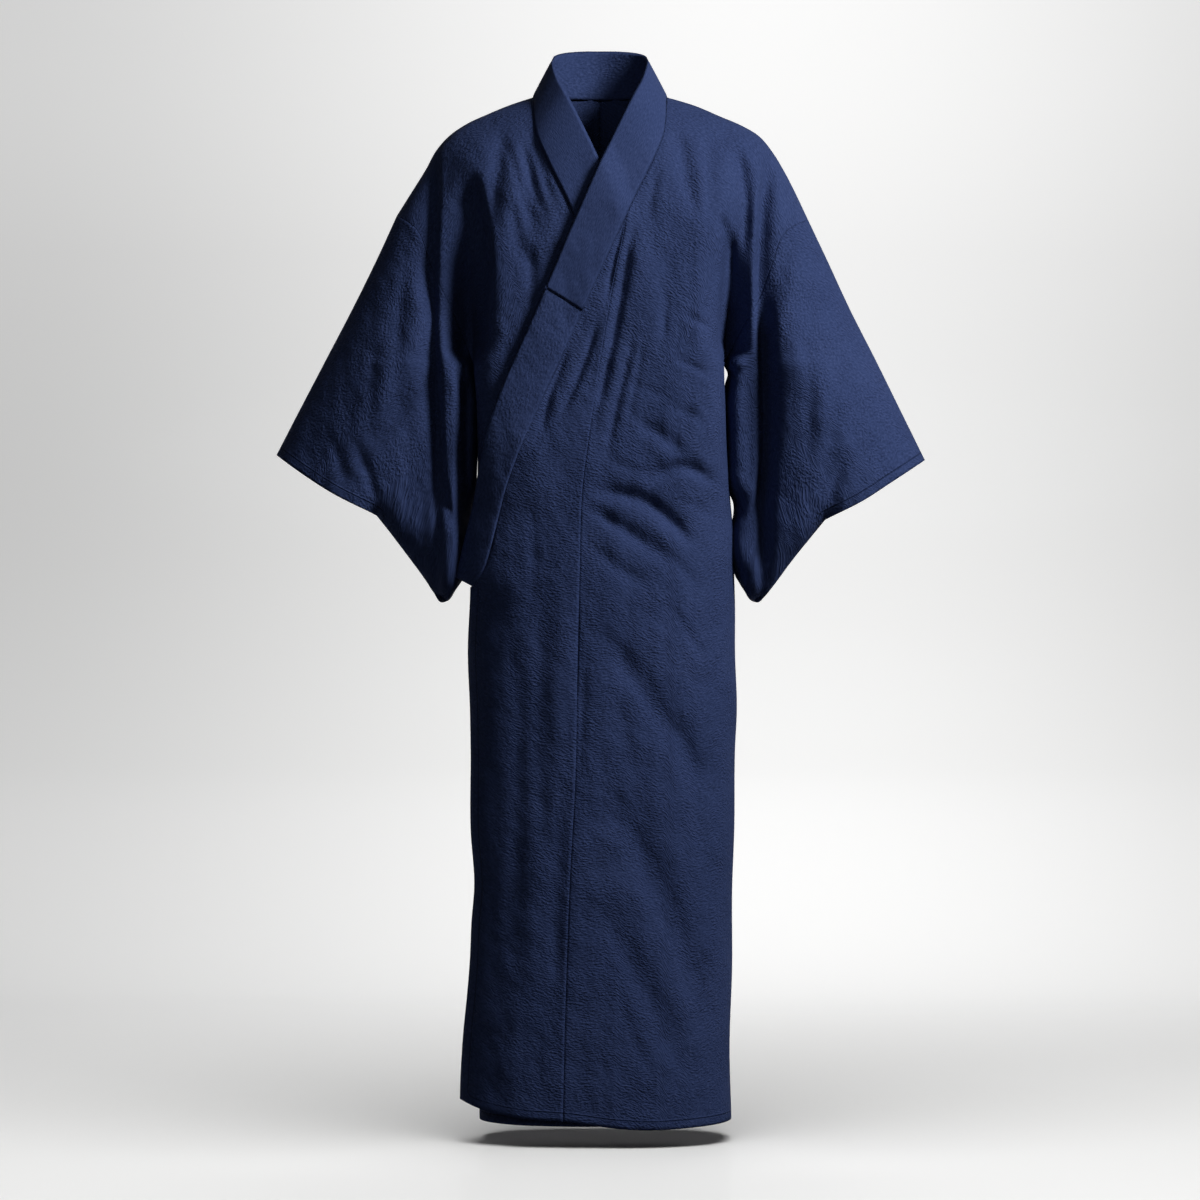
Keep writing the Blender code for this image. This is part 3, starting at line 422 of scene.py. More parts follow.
def body_y(layer, x, z):
    """Depth of the body's outer cloth: the left front, the right front or the back."""
    x, z = np.asarray(x, float), np.asarray(z, float)
    face = "back" if layer == "back" else "front"
    shoulder = np.where(x >= 0, upper("left", face, np.abs(x), z),
                        upper("right", face, np.abs(x), z))
    left = column(BODY, BODY_NAMES, "left", z)
    right = column(BODY, BODY_NAMES, "right", z)
    deep = column(BODY, BODY_NAMES, face, z)
    power = mix(TORSO_POWER, ARMHOLE_POWER, smooth((z - UNDERARM + 0.220) / 0.220))
    over = 0.0
    if layer == "left":
        over = lift(x, z)
        wide = np.where(x >= 0, left, column(BODY, BODY_NAMES, "lap", z))
        deep = deep + 0.010
        tube = ring(x, wide, deep, power)
    elif layer == "right":
        tube = ring(x, np.where(x >= 0, left - 0.013, right), deep, power)
        left = np.where(x >= 0, left - 0.013, left)
    else:
        tube = ring(x, np.where(x >= 0, left, right), deep, power)
    side = np.where(x >= 0, left, np.where(layer == "left", 9.0, right))
    open_side = smooth((z - UNDERARM) / 0.036)
    soft = deep * (1.0 - np.clip(np.abs(x) / side, 0.0, 1.0) ** 12)
    low = np.where(np.abs(x) <= side, mix(tube, np.minimum(tube, soft), open_side),
                   shoulder * hollow_side(np.abs(x) - side, z))
    half = mix(shoulder + over, low, split(z))
    half = troughs(face, x, z, half)
    return half if face == "back" else -half


def hem_height(layer, x):
    line = np.array(HEM_LINE, float)
    return curve(line[:, 0], line[:, 1], x) if layer == "left" else HEM


def hem(layer, x, z):
    """Heights near the bottom, let down or taken up to the line of the hem."""
    return z + (hem_height(layer, x) - HEM) * smooth((-0.95 - z) / (-0.95 - HEM))


def normals(grid):
    """Unit normal at each point of a grid; which way it faces depends on the grid."""
    n = np.cross(np.gradient(grid, axis=1), np.gradient(grid, axis=0))
    return n / np.maximum(np.linalg.norm(n, axis=2, keepdims=True), 1e-9)


NO_EDGE = 0.5           # what measured() is told where no turned-in edge is near, in metres


def measured(grid, turned_edge=NO_EDGE):
    """Cloth coordinates in metres: along the rows, down the columns, and how far off the
    turned-in edge is."""
    across = np.linalg.norm(np.diff(grid, axis=1), axis=2)
    down = np.linalg.norm(np.diff(grid, axis=0), axis=2)
    u = np.concatenate([np.zeros((len(grid), 1)), np.cumsum(across, axis=1)], axis=1)
    v = np.concatenate([np.zeros((1, grid.shape[1])), np.cumsum(down, axis=0)], axis=0)
    return np.stack([u, v, np.broadcast_to(turned_edge, u.shape)], axis=-1)


def cloth(name, grids, out, wall=WALL):
    """A shell of cotton through grids of points, welded where they meet."""
    points, faces, coords = [], [], []
    for grid, uv in grids:
        rows, columns = grid.shape[:2]
        first = len(points)
        points.extend(map(tuple, grid.reshape(-1, 3)))
        coords.extend(map(tuple, uv.reshape(-1, 3)))
        for i in range(rows - 1):
            for j in range(columns - 1):
                a = first + i * columns + j
                faces.append((a, a + columns, a + columns + 1, a + 1))
    mesh = bpy.data.meshes.new(name)
    mesh.from_pydata(points, [], faces)
    corner = np.empty(len(mesh.loops), dtype=np.int32)
    mesh.loops.foreach_get("vertex_index", corner)
    coords = np.array(coords)[corner]
    for layer, columns in (("Cloth", [0, 1]), ("Edge", [2, 2])):
        mesh.uv_layers.new(name=layer)
        mesh.uv_layers[layer].data.foreach_set("uv", coords[:, columns].ravel())
    form = bmesh.new()
    form.from_mesh(mesh)
    bmesh.ops.remove_doubles(form, verts=form.verts, dist=0.00005)
    bmesh.ops.recalc_face_normals(form, faces=form.faces)
    form.faces.ensure_lookup_table()
    probe = max(form.faces, key=lambda f: f.calc_center_median().dot(out))
    if probe.normal.dot(out) < 0:
        bmesh.ops.reverse_faces(form, faces=form.faces)
    form.to_mesh(mesh)
    form.free()
    mesh.shade_smooth()
    piece = bpy.data.objects.new(name, mesh)
    bpy.context.scene.collection.objects.link(piece)
    if wall:
        thick = piece.modifiers.new("Cloth", "SOLIDIFY")
        thick.thickness = wall
        thick.offset = 0.0
    return piece


def linear(hex_colour):
    """A colour as sRGB hex, such as "3a4a70", turned to linear for the shaders."""
    parts = [int(hex_colour[i:i + 2], 16) / 255 for i in (0, 2, 4)]
    return [c / 12.92 if c <= 0.04045 else ((c + 0.055) / 1.055) ** 2.4 for c in parts] + [1.0]


def node(tree, kind, inputs=None, **settings):
    """Adds a shader node; an input is a value, a socket, or a node for its first output."""
    made = tree.nodes.new("ShaderNode" + kind)
    for key, value in settings.items():
        setattr(made, key, value)
    for key, value in (inputs or {}).items():
        if isinstance(value, bpy.types.Node):
            value = value.outputs[0]
        if isinstance(value, bpy.types.NodeSocket):
            tree.links.new(value, made.inputs[key])
        else:
            made.inputs[key].default_value = value
    return made


HEM_WIDTH = 0.013       # how far the hems are turned in
HEM_STEP = 0.0011       # how far a hem's doubled cloth stands up
HEM_FADE = 0.0014       # and the width over which it drops to the single cloth
STITCH_INSET = 0.0016   # the line of stitches lies this far inside the hem's inner edge
STITCH_LINE = (0.0004, 0.0013)  # half its width, where it is full and where it ends
# The puckers are painted darker in their hollows and lighter on their tops: painted shade and
# painted light over the dyed colour. The dark colour also draws the line of stitches, and the
# light one colours the light that comes through the cloth.
PAINTED_SHADE_AND_STITCH, INDIGO, PAINTED_LIGHT_AND_THROUGH = "263150", "354269", "46537c"  # painted shade in the puckers' hollows, all over, painted light on top
SHEEN = "6a7fc0"
# Noise cells to a metre: stray yarns every 26 mm, patches of stronger puckers every 45 mm,
# threads every 0.8 mm, coarser than the real ones so that they show, and dye over 140 mm
STRAYS, PATCHES, THREADS, DYE = 38.0, 22.0, 1300.0, 7.0
TONES = (0.20, 0.52, 0.86)      # the mixed pattern where the cloth is painted shade, INDIGO and painted light


def cotton(name, across, along, pucker, slant=0.0, stray=0.005):
    """Shijira cotton, dyed in the yarn, woven and left matt. Its puckers are cells of across
    x along metres, turned by slant, bent by stray and raised by pucker; painted shade in their
    hollows, painted light on their tops."""
    made = bpy.data.materials.new(name)
    made.use_nodes = True
    tree = made.node_tree
    tree.nodes.clear()
    place = node(tree, "UVMap", uv_map="Cloth")
    bent = node(tree, "TexNoise", {"Vector": place, "Scale": STRAYS, "Detail": 2.0})
    bend = node(tree, "VectorMath", {0: bent.outputs["Color"], 1: (stray, stray, 0.0)},
                operation="MULTIPLY")
    wavy = node(tree, "VectorMath", {0: place, 1: bend}, operation="ADD")
    turned = node(tree, "VectorRotate", {"Vector": wavy, "Angle": slant}, rotation_type="Z_AXIS")
    cells = node(tree, "VectorMath", {0: turned, 1: (1.0 / across, 1.0 / along, 1.0)},
                 operation="MULTIPLY")
    puckers = node(tree, "TexNoise", {"Vector": cells, "Scale": 1.0, "Detail": 1.6,
                   "Roughness": 0.5})
    patches = node(tree, "TexNoise", {"Vector": place, "Scale": PATCHES, "Detail": 2.0})
    strong = node(tree, "MapRange", {0: patches, 1: 0.32, 2: 0.68, 3: 0.35, 4: 1.0})
    raised = node(tree, "Math", {0: puckers, 1: strong}, operation="MULTIPLY")
    thread = node(tree, "TexNoise", {"Vector": place, "Scale": THREADS, "Detail": 1.0})
    dye = node(tree, "TexNoise", {"Vector": place, "Scale": DYE, "Detail": 3.0})
    # The puckers' share of the pattern paints shade in their hollows and light on their tops;
    # threads and dye vary it at random.
    tone = -0.17
    for pattern, share in ((puckers, 0.75), (thread, 0.30), (dye, 0.30)):
        tone = node(tree, "Math", {0: pattern, 1: share, 2: tone}, operation="MULTIPLY_ADD")
    low = node(tree, "MapRange", {0: tone, 1: TONES[0], 2: TONES[1]})
    high = node(tree, "MapRange", {0: tone, 1: TONES[1], 2: TONES[2]})
    edge = node(tree, "UVMap", uv_map="Edge")
    edge = node(tree, "SeparateXYZ", {0: edge})
    doubled = node(tree, "MapRange", {0: edge, 1: HEM_WIDTH, 2: HEM_WIDTH + HEM_FADE, 3: 1.0,
                   4: 0.0})
    off = node(tree, "Math", {0: edge, 1: HEM_WIDTH - STITCH_INSET}, operation="SUBTRACT")
    off = node(tree, "Math", {0: off}, operation="ABSOLUTE")
    sewn = node(tree, "MapRange", {0: off, 1: STITCH_LINE[0], 2: STITCH_LINE[1], 3: 1.0, 4: 0.0})
    stepped = node(tree, "Math", {0: sewn, 1: -0.8, 2: doubled}, operation="MULTIPLY_ADD")
    # Painted shade in the hollows, the dyed colour, painted light on the tops, then the line of
    # stitches in the dark colour.
    colour = linear(PAINTED_SHADE_AND_STITCH)
    for share, dyed in ((low, INDIGO), (high, PAINTED_LIGHT_AND_THROUGH), (sewn, PAINTED_SHADE_AND_STITCH)):
        colour = node(tree, "Mix", {0: share, 6: colour, 7: linear(dyed)},
                      data_type="RGBA").outputs[2]
    hemmed = node(tree, "Bump", {"Height": stepped, "Strength": 1.0, "Distance": HEM_STEP})
    bumps = node(tree, "Bump", {"Height": raised, "Strength": 1.0, "Distance": pucker,
                 "Normal": hemmed})
    fine = node(tree, "Bump", {"Height": thread, "Strength": 0.4, "Distance": 0.0003,
                "Normal": bumps})
    skin = node(tree, "BsdfPrincipled", {"Base Color": colour, "Roughness": 0.90, "Normal": fine,
                "Specular IOR Level": 0.10, "Sheen Weight": 0.05, "Sheen Roughness": 0.5,
                "Sheen Tint": linear(SHEEN)})
    through = node(tree, "BsdfTranslucent", {"Color": linear(PAINTED_LIGHT_AND_THROUGH), "Normal": fine})
    both = node(tree, "MixShader", {0: 0.04, 1: skin, 2: through})
    node(tree, "OutputMaterial", {"Surface": both})
    return made


def finer(levels, step):
    """Row numbers that pass through every level, with cells of about that length."""
    numbers = [0.0]
    for k in range(len(levels) - 1):
        count = max(1, round(abs(levels[k + 1] - levels[k]) / step))
        numbers.extend(k + (i + 1) / count for i in range(count))
    return np.array(numbers)


def front_edge(side, levels):
    """Inner edge of a front at each height: the collar's seam, then the gusset's."""
    rows = np.array(COLLAR, float)[8:]
    neck = curve(rows[:, 1], rows[:, 0], levels)
    seam = np.array(OKUMI_SEAM, float)
    gusset = curve(seam[:, 0], seam[:, 1], levels)
    return np.where(np.asarray(levels) > seam[0, 0], neck, gusset)


def body(side):
    """One front and its half of the back, in one length over the shoulder."""
    sign = SIGN[side]
    ridge = np.array(RIDGE[side][:RIDGE_AT_ARMHOLE + 1])
    spread = np.linspace(0.0, 1.0, BODY_COLUMNS + 1)
    spread = mix(spread, np.sin(0.5 * np.pi * spread), 0.70)
    numbers = finer(TOP_LEVELS, ROW_STEP)
    top_levels = np.interp(numbers, np.arange(len(TOP_LEVELS)), TOP_LEVELS)
    fall = numbers / (len(TOP_LEVELS) - 1)
    fall = mix(fall, fall ** 2, 0.55)
    low_levels = np.linspace(UNDERARM, HEM, round((UNDERARM - HEM) / ROW_STEP) + 1)[1:]
    top = path(ridge, spread)
    top[0, 0] += NECK_SEAM
    grids = []
    for face in ("front", "back"):
        hole = path(ARMHOLE[side, face], fall)
        hole[1:-1, 0] -= SEAM * 2.0
        if face == "front":
            edge = np.stack([front_edge(side, top_levels), top_levels], axis=1)
            gap = mix(NECK_SEAM, COLLAR_SEAM, smooth(-edge[:, 1] / 0.090))
            gap = np.where(edge[:, 1] > OKUMI_SEAM[0][0] - 0.002, gap, SEAM)
            edge[:, 0] += gap
            low_edge = front_edge(side, low_levels) + SEAM
        else:
            neck = [(0.0905, 0.0)] + [row[:2] for row in COLLAR_BACK[:-1]] + [(-SEAM, 0.0055)]
            share = np.interp(numbers, [0, 1, 2, 3], [0.0, 0.25, 0.60, 1.0])
            edge = path(neck, share)
            edge[:, 1] -= 0.0010
            below = numbers > 3
            edge[below, 0] = -SEAM
            edge[below, 1] = np.interp(numbers[below], [3, 4, numbers[-1]],
                                       [0.0045, -0.030, UNDERARM])
            low_edge = np.full(len(low_levels), -SEAM)
        edge[0] = top[0]
        foot = mix(edge[-1][None, :], hole[-1][None, :], spread[:, None])
        high = patch(top, foot, edge, hole)
        wide = column(BODY, BODY_NAMES, side, low_levels)
        low = np.stack([mix(low_edge[:, None], wide[:, None], spread[None, :]),
                        np.repeat(low_levels[:, None], BODY_COLUMNS + 1, 1)], axis=-1)
        flat = np.concatenate([high, low])
        layer = "back" if face == "back" else side
        x = sign * flat[..., 0]
        y = body_y(layer, x, flat[..., 1])
        z = hem(layer, x, flat[..., 1])
        shut = len(top_levels) - 1
        y[0, :] = 0.0
        y[shut:, -1] = 0.0
        z[shut:, -1] = flat[shut:, -1, 1]
        grid = np.stack([x, y, z], axis=-1)
        grids.append((grid, measured(grid, z - hem_height(layer, x))))
    return cloth(f"body_{side}", grids, Vector((sign, 0.0, 0.0)))


body_cotton = cotton("crinkled_indigo_cotton", 0.0050, 0.0025, 0.0037)
for side in ("left", "right"):
    piece = body(side)
    piece.data.materials.append(body_cotton)
    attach(piece, "root")
    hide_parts(f"body_{side}")
    piece.name = f"migoro_{side}"


# ------------------------------------------------------------------- sleeves (sode)
# A bag of folded cotton on each arm: open towards the body along the armhole, open at the
# hand down to the small closed corner, and shut below. It hangs in deep soft folds.
SLEEVE_COLUMNS = 84
# Hand opening, then the closed end of the sleeve, from the ridge to the tip: x, z
OPENING = {
    "left": [(0.448, -0.501), (0.400, -0.532), (0.356, -0.560), (0.308, -0.584)],
    "right": [(0.446, -0.494), (0.411, -0.519), (0.364, -0.549), (0.306, -0.578)],
}
SHUT = {
    "left": [(0.308, -0.584), (0.290, -0.606), (0.263, -0.640), (0.240, -0.672), (0.228, -0.688)],
    "right": [(0.306, -0.578), (0.290, -0.598), (0.263, -0.634), (0.240, -0.666), (0.229, -0.683)],
}
# Inner edge of the sleeve bag, from the underarm down: x, z
BAG_EDGE = {
    "left": [(0.1718, -0.3705), (0.1768, -0.381), (0.1735, -0.394), (0.1700, -0.420),
             (0.1705, -0.460), (0.1715, -0.500), (0.1735, -0.535), (0.1850, -0.560),
             (0.1850, -0.575), (0.1790, -0.598), (0.1800, -0.640), (0.1885, -0.663)],
    "right": [(0.1752, -0.3705), (0.1715, -0.392), (0.1690, -0.420), (0.1690, -0.460),
              (0.1700, -0.500), (0.1720, -0.535), (0.1780, -0.567), (0.1820, -0.640),
              (0.1880, -0.663)],
}
# Shift of the sleeve bag to the front and back, as it folds like a fan: x, left y, right y
FAN = [(0.160, 0.016, 0.016), (0.175, 0.022, 0.027), (0.185, 0.024, 0.035),
       (0.190, 0.024, 0.014), (0.198, 0.023, -0.014), (0.205, 0.019, -0.022),
       (0.212, 0.014, -0.026), (0.222, 0.014, -0.024), (0.230, -0.006, -0.031),
       (0.240, -0.029, -0.036), (0.250, -0.040, -0.041), (0.270, -0.050, -0.046),
       (0.290, -0.050, -0.045), (0.320, -0.046, -0.041), (0.360, -0.037, -0.034),
       (0.400, -0.024, -0.025), (0.450, -0.004, -0.012)]
ARMHOLE_EASE = 0.040    # the folds of the bag grow over this distance from the armhole


def bag_inner(side, z):
    bag = np.array(BAG_EDGE[side], float)
    return curve(bag[:, 1], bag[:, 0], z)


def sleeve_y(side, face, x, z):
    """Depth of the sleeve's front or back face; x is the distance from the middle."""
    x, z = np.asarray(x, float), np.asarray(z, float)
    sign = SIGN[side]
    d = away(RIDGE[side], x, z)
    half = upper(side, face, x, z)
    body_wide = column(BODY, BODY_NAMES, side, z)
    inner = np.where(z >= BAG_EDGE[side][0][1], body_wide, bag_inner(side, z) - 0.006)
    half = half * mix(1.0, hollow_side(x - inner, z), split(z))
    half = troughs(face, sign * x, z, half)
    half = half * dome(away(SHUT[side] + [SLEEVE_FOOT], x, z) / 0.040)
    fan = np.array(FAN, float)
    fan = curve(fan[:, 0], fan[:, 1 if side == "left" else 2], x) * smooth(d / 0.110)
    fan = fan * (1.0 - 0.35 * smooth((-0.590 - z) / 0.080))
    free = smooth(away(ARMHOLE[side, face], x, z) / ARMHOLE_EASE)
    middle = fan * free * split(z)
    return middle + half if face == "back" else middle - half


def rows_down(first, second, counts):
    """Shares down two joined edges, as many cells to a coarse row as counts says."""
    coarse_first, coarse_second, cells = counts
    upper_rows = np.linspace(0.0, 1.0, coarse_first * cells + 1)
    lower_rows = np.linspace(0.0, 1.0, coarse_second * cells + 1)[1:]
    upper_rows = mix(upper_rows, upper_rows ** 2, 0.45)
    return np.concatenate([path(first, upper_rows), path(second, lower_rows)])


def sleeve(side):
    """A bag that hangs from the arm: open at the armhole and at the hand."""
    sign = SIGN[side]
    ridge = np.array(RIDGE[side][RIDGE_AT_ARMHOLE:])
    along = np.linspace(0.0, 1.0, SLEEVE_COLUMNS + 1)
    grids = []
    cells = 6
    for face in ("front", "back"):
        left = rows_down(ARMHOLE[side, face], BAG_EDGE[side], (9, 10, cells))
        left[1:9 * cells, 0] += SEAM * 2.0
        right = rows_down(OPENING[side], SHUT[side], (11, 8, cells))
        top = path(ridge, along)
        left[0] = top[0] = ridge[0] + [0.0004, -0.0006]
        foot = path([BAG_EDGE[side][-1], (0.199, -0.680), SLEEVE_FOOT, (0.218, -0.697),
                     SHUT[side][-1]], 0.5 - 0.5 * np.cos(np.pi * along))
        flat = patch(top, foot, left, right)
        y = sleeve_y(side, face, flat[..., 0], flat[..., 1])
        edge = 0.5 * (sleeve_y(side, "front", flat[..., 0], flat[..., 1])
                      + sleeve_y(side, "back", flat[..., 0], flat[..., 1]))
        y[0, :] = 0.0
        y[-1, :] = edge[-1, :]
        y[9 * cells:, 0] = edge[9 * cells:, 0]
        y[11 * cells:, -1] = edge[11 * cells:, -1]
        grid = np.stack([sign * flat[..., 0], y, flat[..., 1]], axis=-1)
        grids.append((grid, measured(grid, away(OPENING[side], flat[..., 0], flat[..., 1]))))
    return cloth(f"sleeve_{side}", grids, Vector((sign, 0.0, 0.0)))


sleeve_cotton = cotton("crinkled_indigo_cotton_sleeve", 0.0052, 0.0025, 0.0042, slant=0.8)
for side in ("left", "right"):
    piece = sleeve(side)
    piece.data.materials.append(sleeve_cotton)
    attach(piece, "root")
    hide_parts(f"sleeve_{side}")
    piece.name = f"sode_{side}"


# ------------------------------------------------------------------ gussets (okumi)
# A long strip sewn to the edge of each front, pointed where it meets the collar. Its outer
# edge and foot are turned in and hemmed. The left one lies over the right one.
OKUMI_COLUMNS = 32
OKUMI_LAP = 0.0006      # its sewn edge lies this far over the front
# Edge of the left front below the collar's tip: z, x
LAP_EDGE = [(-0.680, -0.1765), (-0.762, -0.1805), (-0.844, -0.1775), (-0.900, -0.1765),
            (-1.008, -0.1765), (-1.090, -0.1715), (-1.145, -0.1755), (-1.199, -0.1775),
            (-1.254, -0.1815), (-1.309, -0.1865), (-1.376, -0.1905), (-1.410, -0.1915)]


def lap_edge(side, levels):
    """Outer edge of a gusset at each height: the collar's seam, then its own hem."""
    rows = np.array(COLLAR, float)[:11]
    levels = np.asarray(levels, float)
    seam = curve(rows[:, 1], rows[:, 0], levels)
    edge = np.array(LAP_EDGE, float)
    free = curve(edge[:, 0], edge[:, 1], levels)
    gap = COLLAR_SEAM + 0.0015 * smooth((-0.570 - levels) / 0.050)
    x = np.where(levels > rows[0, 1], seam + gap, free)
    if side == "right":
        low, start, end = RIGHT_SQUEEZE
        x = x * mix(1.0, low, smooth((end - levels) / (end - start)))
        x = np.maximum(x, -0.150)
    return x


def okumi(side):
    """The gusset between a front and the collar, pointed at its top."""
    levels = np.linspace(OKUMI_TOP, HEM, round((OKUMI_TOP - HEM) / ROW_STEP) + 1)
    inner = front_edge(side, levels) + OKUMI_LAP
    outer = np.minimum(lap_edge(side, levels), inner - 0.0003)
    share = np.linspace(0.0, 1.0, OKUMI_COLUMNS + 1)
    x = mix(outer[:, None], inner[:, None], share[None, :])
    z = np.repeat(levels[:, None], OKUMI_COLUMNS + 1, 1)
    sign = SIGN[side]
    y = body_y(side, sign * x, z) - WALL * smooth(1.0 - (inner[:, None] - x) / 0.006)
    grid = np.stack([sign * x, y, hem(side, sign * x, z)], axis=-1)
    to_side = np.where(z < COLLAR[0][1], x - outer[:, None], NO_EDGE)
    turned_edge = np.minimum(grid[..., 2] - hem_height(side, sign * x), to_side)
    return cloth(f"okumi_{side}", [(grid, measured(grid, turned_edge))],
                 Vector((0.0, -1.0, 0.0)))


for side in ("left", "right"):
    piece = okumi(side)
    piece.data.materials.append(body_cotton)
    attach(piece, "root")
    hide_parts(f"okumi_{side}")
    piece.name = f"okumi_panel_{side}"


# --------------------------------------------------------------- collar (eri), and its cover
# One long strip folded lengthways over its own layers, sewn to the edge of both fronts and
# round the neck; a second, smoother strip covers its upper part, where it would wear.
BAND = 0.0026           # thickness of the folded collar strip
COLLAR_OVER = 0.0020    # its folded edge lies this far over the seam
OVER_BAND = 0.0009      # thickness of the cover sewn over the upper collar
COLLAR_COLUMNS = 14
COLLAR_CELLS = 16       # rows of cells for each row of COLLAR
OVER_COLLAR_END = 7.0   # the row of COLLAR where the cover ends
NECK_TUCK = 0.0020      # at the back the collar stands this far inside the body's edge
NECK_DROP = 0.0040      # and reaches this far below it
# Depth of the free edge where it leaves the chest: row of COLLAR, y
COLLAR_LEAN = [(9, -0.104), (10, -0.088), (11, -0.066), (12, -0.044), (13, -0.020), (14, 0.002)]


def collar_points(side, rows):
    """The collar's lines of points at each row, from the seam to the free edge."""
    table = np.array(COLLAR, float)
    index = np.arange(len(table))
    share = np.linspace(0.0, 1.0, COLLAR_COLUMNS + 1)
    seam_x, seam_z, free_x, free_z = (curve(index, table[:, k], rows) for k in range(4))
    seam_x = seam_x + COLLAR_OVER * smooth((13.5 - rows) / 2.0)
    x = mix(seam_x[:, None], free_x[:, None], share[None, :])
    z = mix(seam_z[:, None], free_z[:, None], share[None, :])
    if side == "right":
        low, start, end = RIGHT_SQUEEZE
        x = -x * mix(1.0, low, smooth((end - z) / (end - start)))
    seam_y = body_y(side, x[:, 0], np.minimum(z[:, 0], -0.0005))
    seam_y = np.where(seam_z > -0.004, seam_y * smooth(-seam_z / 0.004), seam_y)
    y = body_y(side, x, z)
    onto = smooth((rows - 8.5) / 1.5)[:, None]
    neck_end = curve(*np.array(COLLAR_LEAN, float).T, rows)
    straight = mix(seam_y[:, None], neck_end[:, None], share[None, :])
    if side == "left":
        straight = straight - lift(x, z)
    return np.stack([x, mix(y, straight, onto), z], axis=-1)


def neckline():
    """The collar's seam round the back of the neck, just inside the body's edge."""
    x, z = np.array([row[:2] for row in COLLAR_BACK]).T
    y = body_y("back", x, z)
    turn = np.array([0.75, 0.40, 0.12, 0.0]) * np.pi / 2
    return np.stack([x - NECK_TUCK * np.sin(turn), y - NECK_TUCK * np.cos(turn),
                     z - NECK_DROP], axis=1)


def collar_grid(first):
    """Rows of the collar from that row of COLLAR on the left, round to it on the right."""
    rows = np.linspace(first, 14.0, round((14.0 - first) * COLLAR_CELLS) + 1)
    left = collar_points("left", rows)
    right = collar_points("right", rows)
    edges = []
    for edge, half in ((0, neckline()), (-1, [(x, y, z) for _, _, x, z, y in COLLAR_BACK])):
        half = np.array(half)
        other = half[:-1][::-1] * [-1.0, 1.0, 1.0]
        line = np.concatenate([left[-1:, edge], half, other, right[-1:, edge]])
        edges.append(path(line, np.linspace(0.0, 1.0, 79)[1:-1])[:, None, :])
    share = np.linspace(0.0, 1.0, COLLAR_COLUMNS + 1)
    return np.concatenate([left, mix(*edges, share[None, :, None]), right[::-1]])


def band(name, grid, thick, lift_out=0.0):
    """A folded strip with soft round edges: two faces that meet along its border."""
    uv = measured(grid)
    out = -normals(grid)
    rows, columns = grid.shape[:2]
    u = np.linspace(0.0, 1.0, columns)[None, :]
    v = np.linspace(0.0, 1.0, rows)[:, None]
    width = np.linalg.norm(grid[rows // 2, -1] - grid[rows // 2, 0])
    rim = np.minimum(np.minimum(u, 1.0 - u) * width, np.minimum(v, 1.0 - v) * rows * 0.004)
    half = 0.5 * thick * dome(rim / (0.5 * thick))[..., None]
    centre = grid + out * lift_out
    outer, inner = centre + out * half, centre - out * half
    return cloth(name, [(outer, uv), (inner, uv + [0.4, 0.0, 0.0])],
                 Vector((0.0, -1.0, 0.0)), wall=0)


collar_cotton = cotton("folded_indigo_cotton", 0.0030, 0.0050, 0.0020, stray=0.001)
piece = band("collar_band", collar_grid(0.0), BAND, lift_out=0.3 * BAND)
piece.data.materials.append(collar_cotton)
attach(piece, "root")
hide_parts("collar")

smooth_cotton = cotton("smooth_indigo_cotton", 0.0015, 0.0060, 0.0007, stray=0.0004)
piece = band("tomo_eri", collar_grid(OVER_COLLAR_END), OVER_BAND,
             lift_out=0.8 * BAND + 0.5 * OVER_BAND)
piece.data.materials.append(smooth_cotton)
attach(piece, "root")
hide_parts("over_collar")


# --------------------------------------------------------------- studio, light and camera
# White seamless paper curves up behind the robe and has two soft lights of its own. The robe
# has a large one from the front on the wearer's left, and a weak fill. The camera is level
# with the robe's middle.
FLOOR = HEM - 0.029
CAMERA_HEIGHT = -0.694
CAMERA_DISTANCE = 6.0
FRAME_WIDTH = 1.656     # how much of the robe's own plane the frame takes in, in metres
SENSOR = 36.0
PAPER_FRONT, PAPER_BEND, PAPER_TOP = -9.0, 2.0, 6.0     # y of its front and bend, and height
PAPER_SIDE = 7.0        # half its width
BEND_RADIUS = 1.5
PAPER_GLOW = (0.46, 0.20)   # the wall's own light at its brightest, and GLOW_REACH beside it
GLOW_MIDDLE, GLOW_REACH = 0.35, 1.7
GLOW_START, GLOW_FULL = 0.8, 2.8    # y where the floor starts to glow, and where in full
TOP_GLOW, TOP_RISE = 0.16, 1.2      # what the wall has more of it, and how far up it has it
MIRROR = 0.04           # share of the paper's face that mirrors, faintly
WORLD_LIGHT = 0.02

sweep_profile = [(PAPER_FRONT, 0.0), (PAPER_BEND, 0.0)]
sweep_profile += [(PAPER_BEND + BEND_RADIUS * math.sin(a),
                   BEND_RADIUS - BEND_RADIUS * math.cos(a))
                  for a in np.linspace(0.1, 0.5 * math.pi, 14)]
sweep_profile += [(PAPER_BEND + BEND_RADIUS, PAPER_TOP)]
sweep = bpy.data.meshes.new("studio_sweep")
sweep.from_pydata([(x, y, FLOOR + z) for y, z in sweep_profile
                   for x in (-PAPER_SIDE, PAPER_SIDE)], [],
                  [(2 * i, 2 * i + 1, 2 * i + 3, 2 * i + 2)
                   for i in range(len(sweep_profile) - 1)])
sweep.shade_smooth()
sweep = bpy.data.objects.new("studio_sweep", sweep)
bpy.context.scene.collection.objects.link(sweep)
sweep.visible_diffuse = False       # the white paper lends the dark cloth no light
paper = bpy.data.materials.new("white_paper")
paper.use_nodes = True
tree = paper.node_tree
tree.nodes.clear()
spot = node(tree, "TexCoord").outputs["Object"]
parts = node(tree, "SeparateXYZ", {0: spot})
aside = node(tree, "Math", {0: parts.outputs["X"], 1: GLOW_MIDDLE}, operation="SUBTRACT")
aside = node(tree, "Math", {0: aside}, operation="ABSOLUTE")
